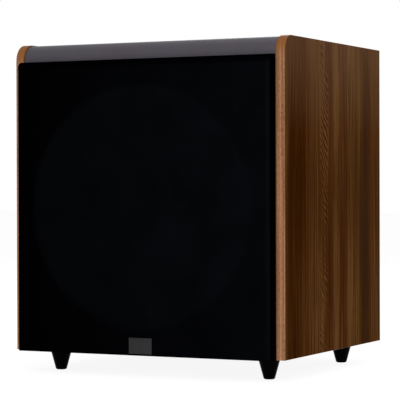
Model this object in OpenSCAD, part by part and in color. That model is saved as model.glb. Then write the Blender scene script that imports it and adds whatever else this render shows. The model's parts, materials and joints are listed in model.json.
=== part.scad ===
// Powered subwoofer: walnut box, pull-off cloth grille, 15-inch-class woofer and a rear plate amplifier.
// Millimetres, +Z up. The grille faces -Y, the feet stand on z = 0 and the box is centred on x = 0.

/* [Cabinet] */
// Width across the side panels
cabinet_w = 462; // [446:1:520]
// Height of the side panels
cabinet_h = 481; // [470:1:560]
// Depth of the side panels
cabinet_d = 393; // [370:1:460]
// Thickness of the cabinet boards
board_t = 15; // [12:0.5:18]
// Thickness of the front baffle
baffle_t = 18; // [17:0.5:24]
// Setback of the baffle behind the side panels' front edges
baffle_recess = 3; // [2:0.5:6]
// Radius of the side panels' upper front corner
nose_r = 26; // [18:0.5:28]
// Step from the side panels' edges in to the grey cap
cap_step = 1.6; // [0.8:0.1:3]
// Thickness of the window brace
brace_t = 15; // [12:0.5:20]
// Distance from the baffle's back to the window brace
brace_setback = 190; // [180:1:210]
// Width of the border left round the brace's window
brace_border = 50; // [40:1:70]
// Corner radius of the brace's window
brace_window_r = 40; // [20:1:60]
// Thickness of the wadding pads
wadding_t = 20; // [10:1:25]
// Space left between a wadding pad and the boards at its ends
wadding_margin = 12; // [5:1:25]

/* [Feet] */
// Height of the feet
foot_h = 34; // [25:1:45]
// Diameter of a foot at the cabinet
foot_top_d = 35.5; // [28:0.5:40]
// Diameter of a foot at the floor
foot_tip_d = 17.5; // [14:0.5:20]
// Chamfer round a foot's tip
foot_chamfer = 1.5; // [0.5:0.1:2]
// Distance from the cabinet's sides and back to a foot's axis
foot_inset = 49.5; // [42:0.5:70]
// Distance from the side panels' front edges to a front foot's axis
foot_setback = 53; // [42:0.5:70]
// Diameter of the screw well up the middle of a foot
foot_well_d = 8; // [7.6:0.1:9]
// Plastic left under the screw's seat in a foot
foot_seat_t = 8; // [5:0.5:12]

/* [Screws] */
// Shank diameter of every screw
screw_d = 4; // [3.5:0.1:4.2]
// Head diameter of every screw
screw_head_d = 7.4; // [6.5:0.1:7.5]
// Head height of every screw
screw_head_t = 2.5; // [2:0.1:3]
// How far a screw goes into the wood
screw_bite = 10; // [7:0.5:10.5]
// Clearance round a screw's shank where it passes a piece
screw_fit = 0.3; // [0.2:0.05:0.5]

/* [Grille] */
// How far the grille stands in front of the side panels
grille_proud = 22.5; // [18:0.1:30]
// Height of the grey band above the grille
band_h = 29.5; // [26:0.5:36]
// Height of the grille's lower edge above the cabinet's underside
grille_lift = 0; // [0:0.1:3]
// Gap between the grille and the panels round it
grille_gap = 0.5; // [0.4:0.1:2]
// Gap between the grille's back and the baffle
grille_standoff = 1; // [0.5:0.1:2]
// Radius of the grille's upper front edge
grille_top_r = 12; // [8:0.5:16]
// Radius of the grille's other front edges
grille_edge_r = 4; // [3.5:0.1:6]
// Thickness of the cloth
cloth_t = 0.8; // [0.5:0.1:1]
// Wall of the moulded grille frame
grille_wall = 3; // [2:0.1:3.2]
// Ribs in each corner of the grille frame
grille_ribs = 3; // [1:1:5]
// Thickness of those ribs
grille_rib_t = 2.4; // [1.5:0.1:3]
// Angle between neighbouring ribs
grille_rib_angle = 11; // [8:1:13]
// Clearance between the woofer's rim and the grille's opening
opening_clear = 4; // [2:0.5:6]
// Distance from the grille's edges to a peg
peg_inset = 24; // [20:1:30]
// Diameter of a peg's shank
peg_d = 6.4; // [5:0.1:7]
// Diameter of a peg's ball end
peg_ball_d = 7.8; // [7.2:0.1:8.4]
// Depth of a peg's shank in the frame
peg_seat = 12; // [8:0.5:14]
// Distance from the frame's back to a ball's centre
peg_reach = 8; // [6:0.5:9]
// Diameter of the boss round a peg
peg_boss_d = 16; // [12:0.5:20]
// Clearance between a ball and its cup
peg_fit = 0.3; // [0.2:0.05:0.5]
// Wall of a rubber cup
cup_wall = 2.8; // [2:0.1:4]
// Rubber left behind a cup's socket
cup_floor = 1.5; // [1:0.1:2]
// Flange width of a cup
cup_flange = 2.5; // [1.5:0.1:4]
// Flange thickness of a cup
cup_flange_t = 1.2; // [0.8:0.1:2]

/* [Woofer basket] */
// Width of the grille's frame beside the woofer's opening, at the narrowest
grille_side = 18; // [16:0.5:22]
// Thickness of the basket's rim
rim_t = 6; // [4:0.5:7]
// Clearance round the rim in its rebate
rim_fit = 1; // [0.5:0.1:1.5]
// Width of the rim outside the baffle's hole
rim_land = 15; // [13:0.5:16]
// Clearance round the basket in the baffle's hole
cutout_fit = 2; // [1:0.1:3]
// Wall of the basket
basket_wall = 4; // [3:0.1:5]
// Depth of the basket's straight skirt
skirt_depth = 24; // [20:1:30]
// Diameter of the ledge that carries the spider
ledge_d = 180; // [176:1:190]
// Diameter of the cup that carries the magnet
motor_cup_d = 152; // [150:1:156]
// Depth of the seat for the front plate
motor_depth = 130; // [126:1:136]
// Distance from the spider's ledge back to that seat
motor_rise = 30; // [26:0.5:34]
// Clearance of the pieces that lie inside the basket's steps
seat_clear = 1; // [0.5:0.1:1.5]
// Windows between the basket's arms
window_count = 8; // [4:1:10]
// Width of a basket arm at the skirt
arm_w = 34; // [24:1:44]
// Solid metal left above and below a window
window_margin = 8; // [6:0.5:10]
// Screws round the rim
rim_screws = 8; // [4:1:12]
// Distance from the rim's edge to the screws
rim_screw_inset = 6.5; // [6:0.1:7]
// Thickness of the gasket on the rim
rim_gasket_t = 3; // [2:0.1:4]
// Length of the terminal strip
strip_l = 28; // [24:1:32]
// Width of the terminal strip
strip_w = 14; // [12:0.5:16]
// Thickness of the terminal strip
strip_t = 2; // [1.5:0.1:3]
// Length, width and thickness of a solder tab
tab_size = [10, 6.3, 0.8];
// Distance between the two tabs
tab_pitch = 14; // [10:0.5:16]

/* [Woofer motor] */
// Diameter of the steel plates
steel_d = 144; // [136:1:150]
// Thickness of the steel plates
steel_t = 8; // [6:0.5:10]
// Diameter of the ferrite ring
magnet_d = 160; // [154:1:170]
// Bore of the ferrite ring
magnet_bore_d = 92; // [84:1:100]
// Thickness of the ferrite ring
magnet_t = 20; // [18:0.5:26]
// Diameter of the pole
pole_d = 63; // [61:0.1:63.2]
// Diameter of the vent through the pole
vent_d = 24; // [16:0.5:30]
// Diameter of the coil former
former_d = 65; // [64.6:0.1:66]
// Wall of the coil former
former_t = 0.4; // [0.3:0.05:0.5]
// Thickness of the winding
winding_t = 1.4; // [1:0.1:1.6]
// Height of the winding
winding_h = 24; // [18:0.5:25]
// Gap between the winding and the front plate
coil_gap = 1.3; // [0.8:0.1:2]

/* [Woofer diaphragm] */
// Width of the cone's flat lip
cone_lip = 7; // [5:0.5:10]
// Thickness of the cone
cone_t = 1.6; // [1:0.1:2]
// Depth of the cone
cone_depth = 74; // [66:1:78]
// How strongly the cone's side curves
cone_flare = 1.25; // [1:0.05:1.4]
// Diameter of the dust cap
dust_cap_d = 104; // [90:1:120]
// Height of the dust cap's dome
dust_cap_h = 16; // [10:0.5:20]
// Thickness of the dust cap
dust_cap_t = 1.2; // [0.8:0.1:1.6]
// Thickness of the rubber surround
surround_t = 1.2; // [0.8:0.1:1.5]
// Distance from the basket's rim in to the surround's foot
surround_inset = 15; // [13:0.5:17]
// Width of that foot
surround_foot_w = 5; // [4:0.5:6]
// Width of the surround's half roll
surround_roll = 22; // [18:0.5:26]
// Thickness of the spider's cloth
spider_t = 0.8; // [0.5:0.1:1]
// Corrugations across the spider
spider_waves = 5; // [3:1:7]
// Height of a corrugation above its mean
spider_wave_h = 1.8; // [1:0.1:2.5]
// Width of the spider's flat rim at the coil former
spider_rim = 8; // [5:0.5:12]

/* [Amplifier plate] */
// Width of the plate
amp_w = 230; // [226:1:260]
// Height of the plate
amp_h = 290; // [284:1:320]
// Height of the plate's centre above the cabinet's underside
amp_rise = 235; // [200:1:260]
// Corner radius of the plate
amp_corner_r = 8; // [4:0.5:12]
// Thickness of the plate
amp_plate_t = 3; // [2:0.1:4]
// Thickness of the foam gasket behind the plate
amp_gasket_t = 1.5; // [1:0.1:3]
// Overlap of the plate on the back panel
amp_overlap = 13; // [11:0.5:15]
// Corner radius of the hole in the back panel
amp_hole_r = 6; // [3:0.5:10]
// Diameter of the boards' standoffs
standoff_d = 7; // [5:0.1:8]

/* [Heat sink] */
// Distance from the plate's sides in to the heat sink
sink_edge = 20; // [15:0.5:35]
// Length of the fins
sink_l = 90; // [70:1:94]
// Height of the heat sink's centre above the plate's centre
sink_v = 86; // [84:0.5:90]
// Height of base and fins together
sink_h = 25; // [22:0.5:32]
// Thickness of the base
sink_base_t = 5; // [4:0.5:8]
// Number of fins
fin_count = 16; // [10:1:20]
// Thickness of a fin at its root
fin_root_t = 3; // [2.5:0.1:4]
// Thickness of a fin at its tip
fin_tip_t = 1.8; // [1.2:0.1:2.4]

/* [Knobs] */
// Height of the knobs' row above the plate's centre
control_v = 14; // [10:0.5:18]
// Distance from the plate's left side, seen from behind, to the level knob
level_edge = 39; // [35:1:47]
// Distance between the two knobs
knob_pitch = 50; // [40:1:58]
// Diameter of a knob
knob_d = 24; // [20:0.5:28]
// Height of a knob
knob_h = 16; // [14:0.5:20]
// Chamfer round a knob's top
knob_chamfer = 1.6; // [0.8:0.1:2.4]
// Flutes round a knob
knob_flutes = 20; // [12:1:28]
// Radius of a flute
flute_r = 0.9; // [0.5:0.1:1.2]
// Gap between a knob and the plate
knob_gap = 1; // [0.6:0.1:2]
// Diameter of the hollow under a knob
knob_hollow_d = 16; // [12:0.5:17]
// Depth of that hollow
knob_hollow_h = 5; // [4:0.5:6]
// Width and depth of the pointer groove
pointer_w = 1.4; // [1:0.1:2]
// Diameter of a potentiometer's shaft
shaft_d = 6; // [5:0.1:6.4]
// Length of the shaft in the knob
shaft_grip = 7; // [5:0.5:8]
// Running clearance of a shaft in its bush, on the radius
shaft_fit = 0.06; // [0.02:0.01:0.1]
// Diameter of a potentiometer's bush
bush_d = 8; // [7.6:0.1:9]
// Length of the bush outside the plate
bush_reach = 2; // [1:0.1:3]
// Metal left under the shaft in a potentiometer
pot_floor = 1; // [0.6:0.1:2]
// Width of a potentiometer's case
pot_w = 16; // [14:0.5:18]
// Height of a potentiometer's case
pot_t = 7; // [6:0.1:8]
// Clearance round what passes through the plate
pass_fit = 0.3; // [0.2:0.05:0.6]

/* [Boards] */
// Thickness of the circuit boards
pcb_t = 1.6; // [1.2:0.1:2]
// Distance from the plate's inside to the control board
control_gap = 12; // [11:0.1:14]
// Space from the left side of the plate's hole, seen from behind, to the control board
control_near = 4; // [2:0.5:6]
// Space from the hole's right side to the control board
control_far = 20; // [12:0.5:24]
// Height of the control board
control_h = 40; // [36:1:44]
// Distance from the plate's inside to the amplifier board
board_gap = 26; // [24:0.5:32]
// Space from the sides of the plate's hole to the amplifier board
board_edge = 14; // [7:0.5:22]
// Height of the amplifier board
board_h = 92; // [80:1:94]
// Distance from the heat sink's centre down to the amplifier board's centre
board_drop = 2; // [0:0.5:3]
// Inset of the standoffs from a board's edges
standoff_inset = 6; // [5:0.5:8]
// Diameter of a filter capacitor
capacitor_d = 34; // [25:1:36]
// Height of a filter capacitor
capacitor_h = 40; // [30:1:50]
// Distance between the two capacitors
capacitor_pitch = 46; // [40:1:50]

/* [Small controls] */
// Distance from the crossover knob to the phase switch
phase_pitch = 48; // [40:1:54]
// Travel of the phase slider
phase_travel = 4; // [3:0.5:5]
// Length, width of the slider's finger tab
phase_tab = [3.4, 5];
// Height of the tab above the plate
phase_tab_h = 3.5; // [2.5:0.1:5]
// Margin of the slider's foot round its tab
phase_foot = 2.2; // [1.5:0.1:3]
// Thickness of that foot
phase_foot_t = 3; // [2:0.1:4]
// Wall of the switch's case
phase_wall = 2; // [1.5:0.1:3]
// Distance from the plate's right side to the status lamp
led_edge = 51; // [45:1:59]
// Diameter of the status lamp
led_d = 5; // [3:0.5:6]
// Height of the lamp's dome above the plate
led_h = 2.6; // [2.5:0.1:4]
// Width and thickness of the lamp's flange
led_flange = 1; // [0.6:0.1:1.5]
// Diameter of the lamp's two legs
led_leg_d = 0.8; // [0.5:0.1:1]

/* [Line jacks] */
// Height of the jacks' row below the plate's centre
jack_v = -44; // [-50:1:-38]
// Distance from the plate's left side to the first jack
jack_edge = 29; // [25:1:33]
// Distance between the jacks
jack_pitch = 28; // [22:1:32]
// Diameter of a jack's barrel
jack_d = 8.3; // [8:0.05:8.5]
// Length of the barrel above its collar
jack_l = 10; // [8:0.5:12]
// Bore for the plug's pin
jack_bore_d = 3.2; // [3:0.05:3.5]
// Metal left under that bore
jack_floor = 1; // [0.6:0.1:2]
// Diameter of the coloured collar
collar_d = 13; // [12:0.5:16]
// Thickness of the collar
collar_t = 1.8; // [1.2:0.1:3]
// Diameter of the jack's stem through the collar and plate
stem_d = 6; // [5:0.1:6.5]
// Length of the stem inside the plate
stem_l = 10; // [7:0.5:14]

/* [Speaker terminals] */
// Distance from the plate's right side to the block's centre
block_edge = 91; // [85:1:95]
// Height of the block's centre below the plate's centre
block_v = -44; // [-46:1:-40]
// Distance between neighbouring levers
lever_pitch = 20; // [18:0.5:21]
// Wall between neighbouring levers
lever_wall = 3; // [2.8:0.1:4]
// Height of the block
block_h = 40; // [38:0.5:42]
// How far the block stands out of the plate
block_t = 13; // [12.5:0.1:16]
// Inset of the block's tail from its sides
tail_inset = 6; // [4:0.5:8]
// Height of the tail
tail_h = 18; // [14:0.5:22]
// Length of the tail inside the plate
tail_l = 12; // [8:0.5:16]
// Length of a lever from its pivot to its tip
lever_l = 21; // [18:0.5:22]
// Thickness of a lever
lever_t = 3; // [2:0.1:3.5]
// How far a lever stands in front of the block
lever_proud = 1; // [0.5:0.1:2]
// Radius of a lever's pivot barrel
lever_barrel_r = 2.6; // [2.4:0.1:3]
// Radius of a lever's pivot stubs
lever_stub_r = 1.2; // [1:0.1:1.4]
// Reach of a stub into the wall beside it
lever_stub_l = 0.8; // [0.5:0.1:0.9]
// Clearance round a lever
lever_fit = 0.5; // [0.4:0.05:0.7]
// Angle a lever is pressed through
lever_press = 18; // [12:1:20]
// Diameter of a wire hole
wire_hole_d = 3.2; // [2.5:0.1:3.6]
// Plastic left between a lever's well and its wire hole
wire_hole_gap = 2; // [1:0.1:2.5]
// Depth of a wire hole
wire_hole_depth = 10; // [8:0.5:11]

/* [Mains switch] */
// Distance from the plate's left side to the switch
switch_edge = 45; // [35:1:55]
// Height of the lowest row below the plate's centre
mains_v = -108; // [-112:1:-106]
// Width and height of the switch's bezel
switch_bezel = [16, 22];
// Width and height of the switch's case
switch_case = [13, 19.4];
// Corner radius of the bezel
switch_bezel_r = 1.5; // [0.5:0.1:2.5]
// Thickness of the bezel
switch_bezel_t = 2; // [1.5:0.1:3]
// Depth of the case inside the plate
switch_depth = 13; // [11:0.5:18]
// Half length of the rocker
rocker_half = 7.8; // [7:0.1:8]
// Width of the rocker
rocker_w = 9.8; // [9:0.1:10]
// Height of the rocker's middle above its pivot
rocker_rise = 4; // [3.4:0.1:5]
// Depth of the rocker's root below its pivot
rocker_root = 3; // [2:0.1:4]
// Angle that the rocker leans to either side
rocker_lean = 8; // [6:0.5:9]
// Radius of the rocker's pivot stubs
rocker_stub_r = 1.3; // [1:0.1:1.5]
// Wall of the switch's case left outside the stubs
stub_skin = 0.5; // [0.4:0.1:0.8]
// Clearance round the rocker
rocker_fit = 0.3; // [0.25:0.05:0.4]

/* [Mains inlet] */
// Distance from the plate's right side to the inlet
inlet_edge = 75; // [65:1:85]
// Width and height of the inlet's flange
inlet_flange = [36, 46];
// Width and height of the inlet's case
inlet_case = [31.4, 41];
// Corner radius of the flange
inlet_flange_r = 3; // [1:0.5:5]
// Thickness of the flange
inlet_flange_t = 3; // [2:0.1:4]
// Depth of the case inside the plate
inlet_depth = 26; // [25.5:0.5:32]
// Width and height of the plug's socket
socket_size = [27.2, 19.6];
// Depth of the socket below the flange's face
socket_depth = 18; // [16:0.5:20]
// Chamfer of the socket's two upper corners
socket_chamfer = 5; // [3:0.5:6]
// Height of the socket's centre below the inlet's centre
socket_drop = 8.4; // [8.2:0.1:8.8]
// Width, height and length of a pin in the socket
pin_size = [2, 4, 12.5];
// Distance between the two live pins
pin_pitch = 14; // [13.5:0.1:14.5]
// Height of the earth pin above the live pins
earth_rise = 4; // [3.5:0.1:4.5]
// Length of the solder tags behind the case
pin_tail = 6; // [4:0.5:8]
// Width and height of the fuse drawer
drawer_size = [26.8, 9];
// Height of the drawer's centre above the inlet's centre
drawer_rise = 13; // [12.8:0.1:13.4]
// Length of the drawer inside the flange
drawer_l = 23; // [20:0.5:25]
// Width and height of the ridge that the drawer is pulled by
drawer_ridge = [13.4, 2.2];
// How far that ridge stands out
drawer_pull = 1.6; // [1:0.1:2.5]
// Clearance round the drawer
drawer_fit = 0.3; // [0.2:0.05:0.5]
// Wall of the drawer
drawer_wall = 1.4; // [1:0.1:1.6]
// Diameter of the fuse
fuse_d = 5.2; // [5:0.1:5.4]
// Length of the fuse
fuse_l = 20; // [18:0.5:22]

/* [Transformer] */
// Diameter of the transformer
transformer_d = 100; // [80:1:104]
// Height of the transformer
transformer_h = 44; // [35:1:60]
// Diameter of its centre hole
transformer_bore_d = 34; // [25:1:40]
// Rounding of its winding
transformer_r = 10; // [5:0.5:14]
// Distance from the middle of the cabinet to the transformer
transformer_x = -100; // [-130:1:-80]

/* [Woofer leads] */
// Radius of a lead
lead_r = 1.5; // [1:0.1:2]
// Distance between the two leads on the amplifier board
lead_pitch = 8; // [5:0.5:12]
// Distance of the leads from the board's edge, and below its centre
lead_pad = [18, 24];
// Straight stretch at both ends of a lead
lead_straight = 6; // [4:0.5:8]
// First and second bend of a lead, measured from its tab
lead_leave = [22, 12, 0];
lead_turn = [26, 34, 2];
// Middle of a lead, measured from half way between its ends
lead_sag = [20, 0, -14];
// Spread of the leads at their middle
lead_spread = 3; // [2:0.5:6]
// Last bend of a lead, measured from the board
lead_arrive = [12, -60, -16];

/* [Hidden] */
$fn = 72;

// Overrun of a cutting tool past the face that it cuts
cut = 1;

// Colours as the photo shows them, and plain ones inside
walnut = [0.32, 0.19, 0.10];
satin_grey = [0.36, 0.35, 0.36];
black_paint = [0.05, 0.05, 0.055];
raw_board = [0.62, 0.5, 0.36];
steel = [0.6, 0.61, 0.63];

// Cabinet planes
base_z = foot_h;
top_z = base_z + cabinet_h;
cap_under_z = top_z - cap_step - board_t;
inner_w = cabinet_w - 2 * board_t;
rear_reach = amp_gasket_t + amp_plate_t + sink_h;
front_y = grille_proud - (grille_proud + cabinet_d + rear_reach) / 2;
rear_y = front_y + cabinet_d;
baffle_y = front_y + baffle_recess;
baffle_back_y = baffle_y + baffle_t;
back_inner_y = rear_y - board_t;
brace_y = baffle_back_y + brace_setback;
brace_back_y = brace_y + brace_t;

// Grille planes
grille_front_y = front_y - grille_proud;
grille_back_y = baffle_y - grille_standoff;
grille_bottom_z = base_z + grille_lift;
grille_top_z = top_z - band_h;
lip_z = grille_top_z + grille_gap;
grille_w = inner_w - 2 * grille_gap;
woofer_z = (grille_bottom_z + grille_top_z) / 2;
opening_r = min(grille_w, grille_top_z - grille_bottom_z) / 2 - grille_side;
peg_spots = [for (x = [-1, 1]) for (z = [grille_bottom_z + peg_inset, grille_top_z - peg_inset])
    [x * (grille_w / 2 - peg_inset), z]];
cup_socket_r = peg_ball_d / 2 + peg_fit;
cup_r = cup_socket_r + cup_wall;
cup_depth = peg_reach - grille_standoff + peg_ball_d / 2 + peg_fit + cup_floor;

// Woofer radii, and depths behind the baffle's front face
rim_d = 2 * (opening_r - opening_clear);
rim_r = rim_d / 2;
rim_back = surround_t + rim_t;
cutout_d = rim_d - 2 * rim_land;
skirt_r = cutout_d / 2 - cutout_fit;
ledge_r = ledge_d / 2;
ledge_depth = motor_depth - motor_rise;
motor_cup_r = motor_cup_d / 2;
rim_screw_r = rim_r - rim_screw_inset;
former_r = former_d / 2;
coil_r = former_r + winding_t;
gap_r = coil_r + coil_gap;
magnet_depth = motor_depth + steel_t;
back_plate_depth = magnet_depth + magnet_t;
winding_mid = motor_depth + steel_t / 2;
winding_end = winding_mid + winding_h / 2;
surround_foot_d = rim_d - 2 * surround_inset;
cone_d = surround_foot_d - 2 * (surround_foot_w + surround_roll);
cone_r = cone_d / 2;
cone_lip_r = cone_r - cone_lip;
neck_depth = surround_t + cone_depth;
spider_depth = ledge_depth - spider_t;
spider_outer_r = ledge_r - basket_wall - seat_clear;
strip_depth = (ledge_depth + basket_wall + motor_depth) / 2;
strip_pad_r = motor_cup_r + basket_wall;

// Depth of the cone's front face at a share t of the way from the lip to the neck
function cone_face(t) = surround_t + cone_depth * pow(t, cone_flare);
function cone_share(r) = (cone_lip_r - r) / (cone_lip_r - former_r);

// Amplifier: u runs right and v runs up as seen from behind, w runs out of the back panel
amp_z = base_z + amp_rise;
plate_in = amp_gasket_t;
plate_out = amp_gasket_t + amp_plate_t;
pass_gap = [2 * pass_fit, 2 * pass_fit];
amp_hole_w = amp_w - 2 * amp_overlap;
sink_w = amp_w - 2 * sink_edge;
control_w = amp_hole_w - control_near - control_far;
control_board_u = (control_near - control_far) / 2;
board_w = amp_hole_w - 2 * board_edge;
level_u = level_edge - amp_w / 2;
crossover_u = level_u + knob_pitch;
phase_u = crossover_u + phase_pitch;
led_u = amp_w / 2 - led_edge;
jack_u = jack_edge - amp_w / 2;
block_u = amp_w / 2 - block_edge;
switch_u = switch_edge - amp_w / 2;
inlet_u = amp_w / 2 - inlet_edge;
screw_margin = amp_overlap / 2;
amp_screw_spots = concat(
    [for (u = [-1, 1]) for (k = [-1, -1 / 3, 1 / 3, 1])
        [u * (amp_w / 2 - screw_margin), k * (amp_h / 2 - screw_margin)]],
    [for (v = [-1, 1]) [0, v * (amp_h / 2 - screw_margin)]]);
control_face = plate_in - control_gap;
board_face = plate_in - board_gap;
board_v = sink_v - board_drop;
control_spots = [for (u = [-1, 1]) for (v = [-1, 1])
    [control_board_u + u * (control_w / 2 - standoff_inset),
        control_v + v * (control_h / 2 - standoff_inset)]];
board_spots = [for (u = [-1, 1]) for (v = [-1, 1])
    [u * (board_w / 2 - standoff_inset), board_v + v * (board_h / 2 - standoff_inset)]];
knob_base = plate_out + knob_gap;
shaft_tip = knob_base + knob_hollow_h + shaft_grip;
jack_spots = [[jack_u, jack_v], [jack_u + jack_pitch, jack_v]];

// Phase switch
phase_foot_l = phase_tab[0] + 2 * phase_foot;
phase_foot_w = phase_tab[1] + 2 * phase_foot;
phase_slot = [phase_tab[0] + phase_travel + 2 * pass_fit, phase_tab[1] + 2 * pass_fit];
phase_well = [phase_foot_l + phase_travel + 2 * pass_fit, phase_foot_w + 2 * pass_fit];
phase_lid = plate_in - 2 * pass_fit;

// Speaker terminals
lever_count = 4;
lever_w = lever_pitch - lever_wall - 2 * lever_fit;
lever_u = [for (i = [0:lever_count - 1]) block_u + (i - (lever_count - 1) / 2) * lever_pitch];
block_w = lever_count * lever_pitch + lever_wall;
block_face = plate_out + block_t;
lever_back = block_face + lever_proud - lever_t;
lever_axis_v = block_v + block_h / 2 - lever_wall - lever_fit - lever_barrel_r;
lever_axis_w = block_face + lever_proud - lever_barrel_r;
lever_floor = lever_axis_w - lever_l * sin(lever_press)
    - (lever_t - lever_barrel_r) * cos(lever_press) - lever_fit;
block_tail = [block_w - 2 * tail_inset, tail_h];
wire_hole_v = lever_axis_v - lever_l - lever_fit - wire_hole_gap - wire_hole_d / 2;

// Mains switch and inlet
rocker_axis = plate_out;
rocker_swing = rocker_half * cos(rocker_lean)
    + (switch_bezel_t + rocker_half * sin(rocker_lean)) * tan(rocker_lean);
rocker_well = [rocker_w + 2 * rocker_fit, 2 * (rocker_swing + rocker_fit)];
rocker_floor = rocker_axis - rocker_root - rocker_half * sin(rocker_lean) - rocker_fit;
stub_hole_l = switch_case[0] - 2 * stub_skin;
inlet_face = plate_out + inlet_flange_t;
socket_v = mains_v - socket_drop;
socket_floor = inlet_face - socket_depth;
drawer_v = mains_v + drawer_rise;
inlet_end = plate_in - inlet_depth;
drawer_end = plate_out - drawer_l;
fuse_w = drawer_end + drawer_wall + fuse_d / 2 + drawer_fit;
transformer_y = (brace_back_y + back_inner_y) / 2;

// Lead pair from the woofer's tabs to the amplifier board
lead_sides = 8;
lead_steps = 3;
lead_start = [strip_pad_r + strip_t + tab_size[0], baffle_y + strip_depth, woofer_z];
lead_end = [board_w / 2 - lead_pad[0], rear_y + board_face - pcb_t, amp_z + board_v - lead_pad[1]];

// Section and placing helpers

module along_x(x0, run) {
    translate([x0, 0, 0]) rotate([90, 0, 90]) linear_extrude(run) children();
}

module along_y(y0, run) {
    translate([0, y0 + run, 0]) rotate([90, 0, 0]) linear_extrude(run) children();
}

module round_rect(size, r) {
    square([size[0], size[1] - 2 * r], center = true);
    square([size[0] - 2 * r, size[1]], center = true);
    for (x = [-1, 1], y = [-1, 1])
        translate([x * (size[0] / 2 - r), y * (size[1] / 2 - r)]) circle(r);
}

module ring(r_in, r_out, z0, z1) {
    rotate_extrude() translate([r_in, z0]) square([r_out - r_in, z1 - z0]);
}

module slab(size, z0, z1) {
    translate([-size[0] / 2, -size[1] / 2, z0]) cube([size[0], size[1], z1 - z0]);
}

module woofer_axis() {
    translate([0, baffle_y, woofer_z]) rotate([-90, 0, 0]) children();
}

module amp_face(u = 0, v = 0) {
    translate([-u, rear_y, amp_z + v]) rotate([90, 0, 180]) children();
}

module peg_axes(y) {
    for (p = peg_spots) translate([p[0], y, p[1]]) rotate([-90, 0, 0]) children();
}

module rim_screw_axes() {
    for (i = [0:rim_screws - 1])
        rotate((i + 0.5) * 360 / rim_screws) translate([rim_screw_r, 0, 0]) children();
}

// Pan-head screw: seat at z = 0, shank along +z
module screw(grip) {
    rotate_extrude() polygon([
        [0, grip + screw_bite], [screw_d / 2, grip + screw_bite - screw_d / 2], [screw_d / 2, 0],
        [screw_head_d / 2, 0], [screw_head_d / 2, -screw_head_t / 2], [screw_head_d / 4, -screw_head_t],
        [0, -screw_head_t]]);
}

// Tube swept along a list of points
function unit(v) = v / norm(v);
function heading(p, i) = unit(p[min(i + 1, len(p) - 1)] - p[max(i - 1, 0)]);
function spline(p0, p1, p2, p3, t) = 0.5 * (2 * p1 + (p2 - p0) * t
    + (2 * p0 - 5 * p1 + 4 * p2 - p3) * t * t + (3 * p1 - p0 - 3 * p2 + p3) * t * t * t);
function smooth(p, n) = concat([for (i = [0:len(p) - 2]) for (k = [0:n - 1])
    spline(p[max(i - 1, 0)], p[i], p[i + 1], p[min(i + 2, len(p) - 1)], k / n)], [p[len(p) - 1]]);

module tube(path, r, sides) {
    n = len(path);
    points = [for (i = [0:n - 1]) let (d = heading(path, i), a = unit(cross(d, [0, 0, 1])), b = cross(d, a))
        for (k = [0:sides - 1]) path[i] + r * (cos(k * 360 / sides) * a + sin(k * 360 / sides) * b)];
    walls = [for (i = [0:n - 2]) for (k = [0:sides - 1]) let (m = (k + 1) % sides)
        [i * sides + k, i * sides + m, (i + 1) * sides + m, (i + 1) * sides + k]];
    ends = [[for (k = [sides - 1:-1:0]) k], [for (k = [0:sides - 1]) (n - 1) * sides + k]];
    polyhedron(points, concat(walls, ends));
}

// Cabinet

// Side view of the box with its rounded upper front corner, set in from the panels' edges
module nose_section(inset, z_low) {
    r = nose_r - inset;
    y0 = front_y + inset;
    z1 = top_z - inset;
    translate([y0, z_low]) square([rear_y - y0, z1 - r - z_low]);
    translate([y0 + r, z_low]) square([rear_y - y0 - r, z1 - z_low]);
    translate([y0 + r, z1 - r]) intersection() {
        circle(r);
        translate([-r, 0]) square([2 * r, r]);
    }
}

module side_panel_left() {
    color(walnut) along_x(-cabinet_w / 2, board_t) nose_section(0, base_z);
}

module side_panel_right() {
    color(walnut) along_x(cabinet_w / 2 - board_t, board_t) nose_section(0, base_z);
}

module top_cap() {
    color(satin_grey) along_x(-inner_w / 2, inner_w) difference() {
        nose_section(cap_step, lip_z);
        translate([baffle_back_y, lip_z - cut]) square([cabinet_d, cap_under_z - lip_z + cut]);
    }
}

module foot_spot(x, y) {
    foot_y = y < 0 ? front_y + foot_setback : rear_y - foot_inset;
    translate([x * (cabinet_w / 2 - foot_inset), foot_y, 0]) children();
}

module foot_spots() {
    for (x = [-1, 1], y = [-1, 1]) foot_spot(x, y) children();
}

module bottom_panel() {
    color(raw_board) difference() {
        translate([-inner_w / 2, baffle_back_y, base_z])
            cube([inner_w, back_inner_y - baffle_back_y, board_t]);
        foot_spots() translate([0, 0, base_z - cut]) cylinder(d = screw_d, h = screw_bite + cut);
    }
}

module amp_hole() {
    round_rect([amp_hole_w, amp_h - 2 * amp_overlap], amp_hole_r);
}

module back_panel() {
    color(black_paint) difference() {
        translate([-inner_w / 2, back_inner_y, base_z]) cube([inner_w, board_t, cap_under_z - base_z]);
        amp_face() translate([0, 0, -board_t - cut]) linear_extrude(board_t + 2 * cut) amp_hole();
        for (p = amp_screw_spots)
            amp_face(p[0], p[1]) translate([0, 0, -screw_bite]) cylinder(d = screw_d, h = screw_bite + cut);
    }
}

module front_baffle() {
    color(black_paint) difference() {
        translate([-inner_w / 2, baffle_y, base_z]) cube([inner_w, baffle_t, lip_z - base_z]);
        woofer_axis() {
            translate([0, 0, -cut]) cylinder(d = cutout_d, h = baffle_t + 2 * cut, $fn = 180);
            translate([0, 0, -cut]) cylinder(r = rim_r + rim_fit, h = rim_back + cut, $fn = 180);
            rim_screw_axes() cylinder(d = screw_d, h = rim_back + screw_bite);
        }
        peg_axes(baffle_y) {
            translate([0, 0, -cut]) cylinder(r = cup_r, h = cup_depth + cut);
            translate([0, 0, -cut]) cylinder(r = cup_r + cup_flange, h = cup_flange_t + cut);
        }
    }
}

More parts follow.
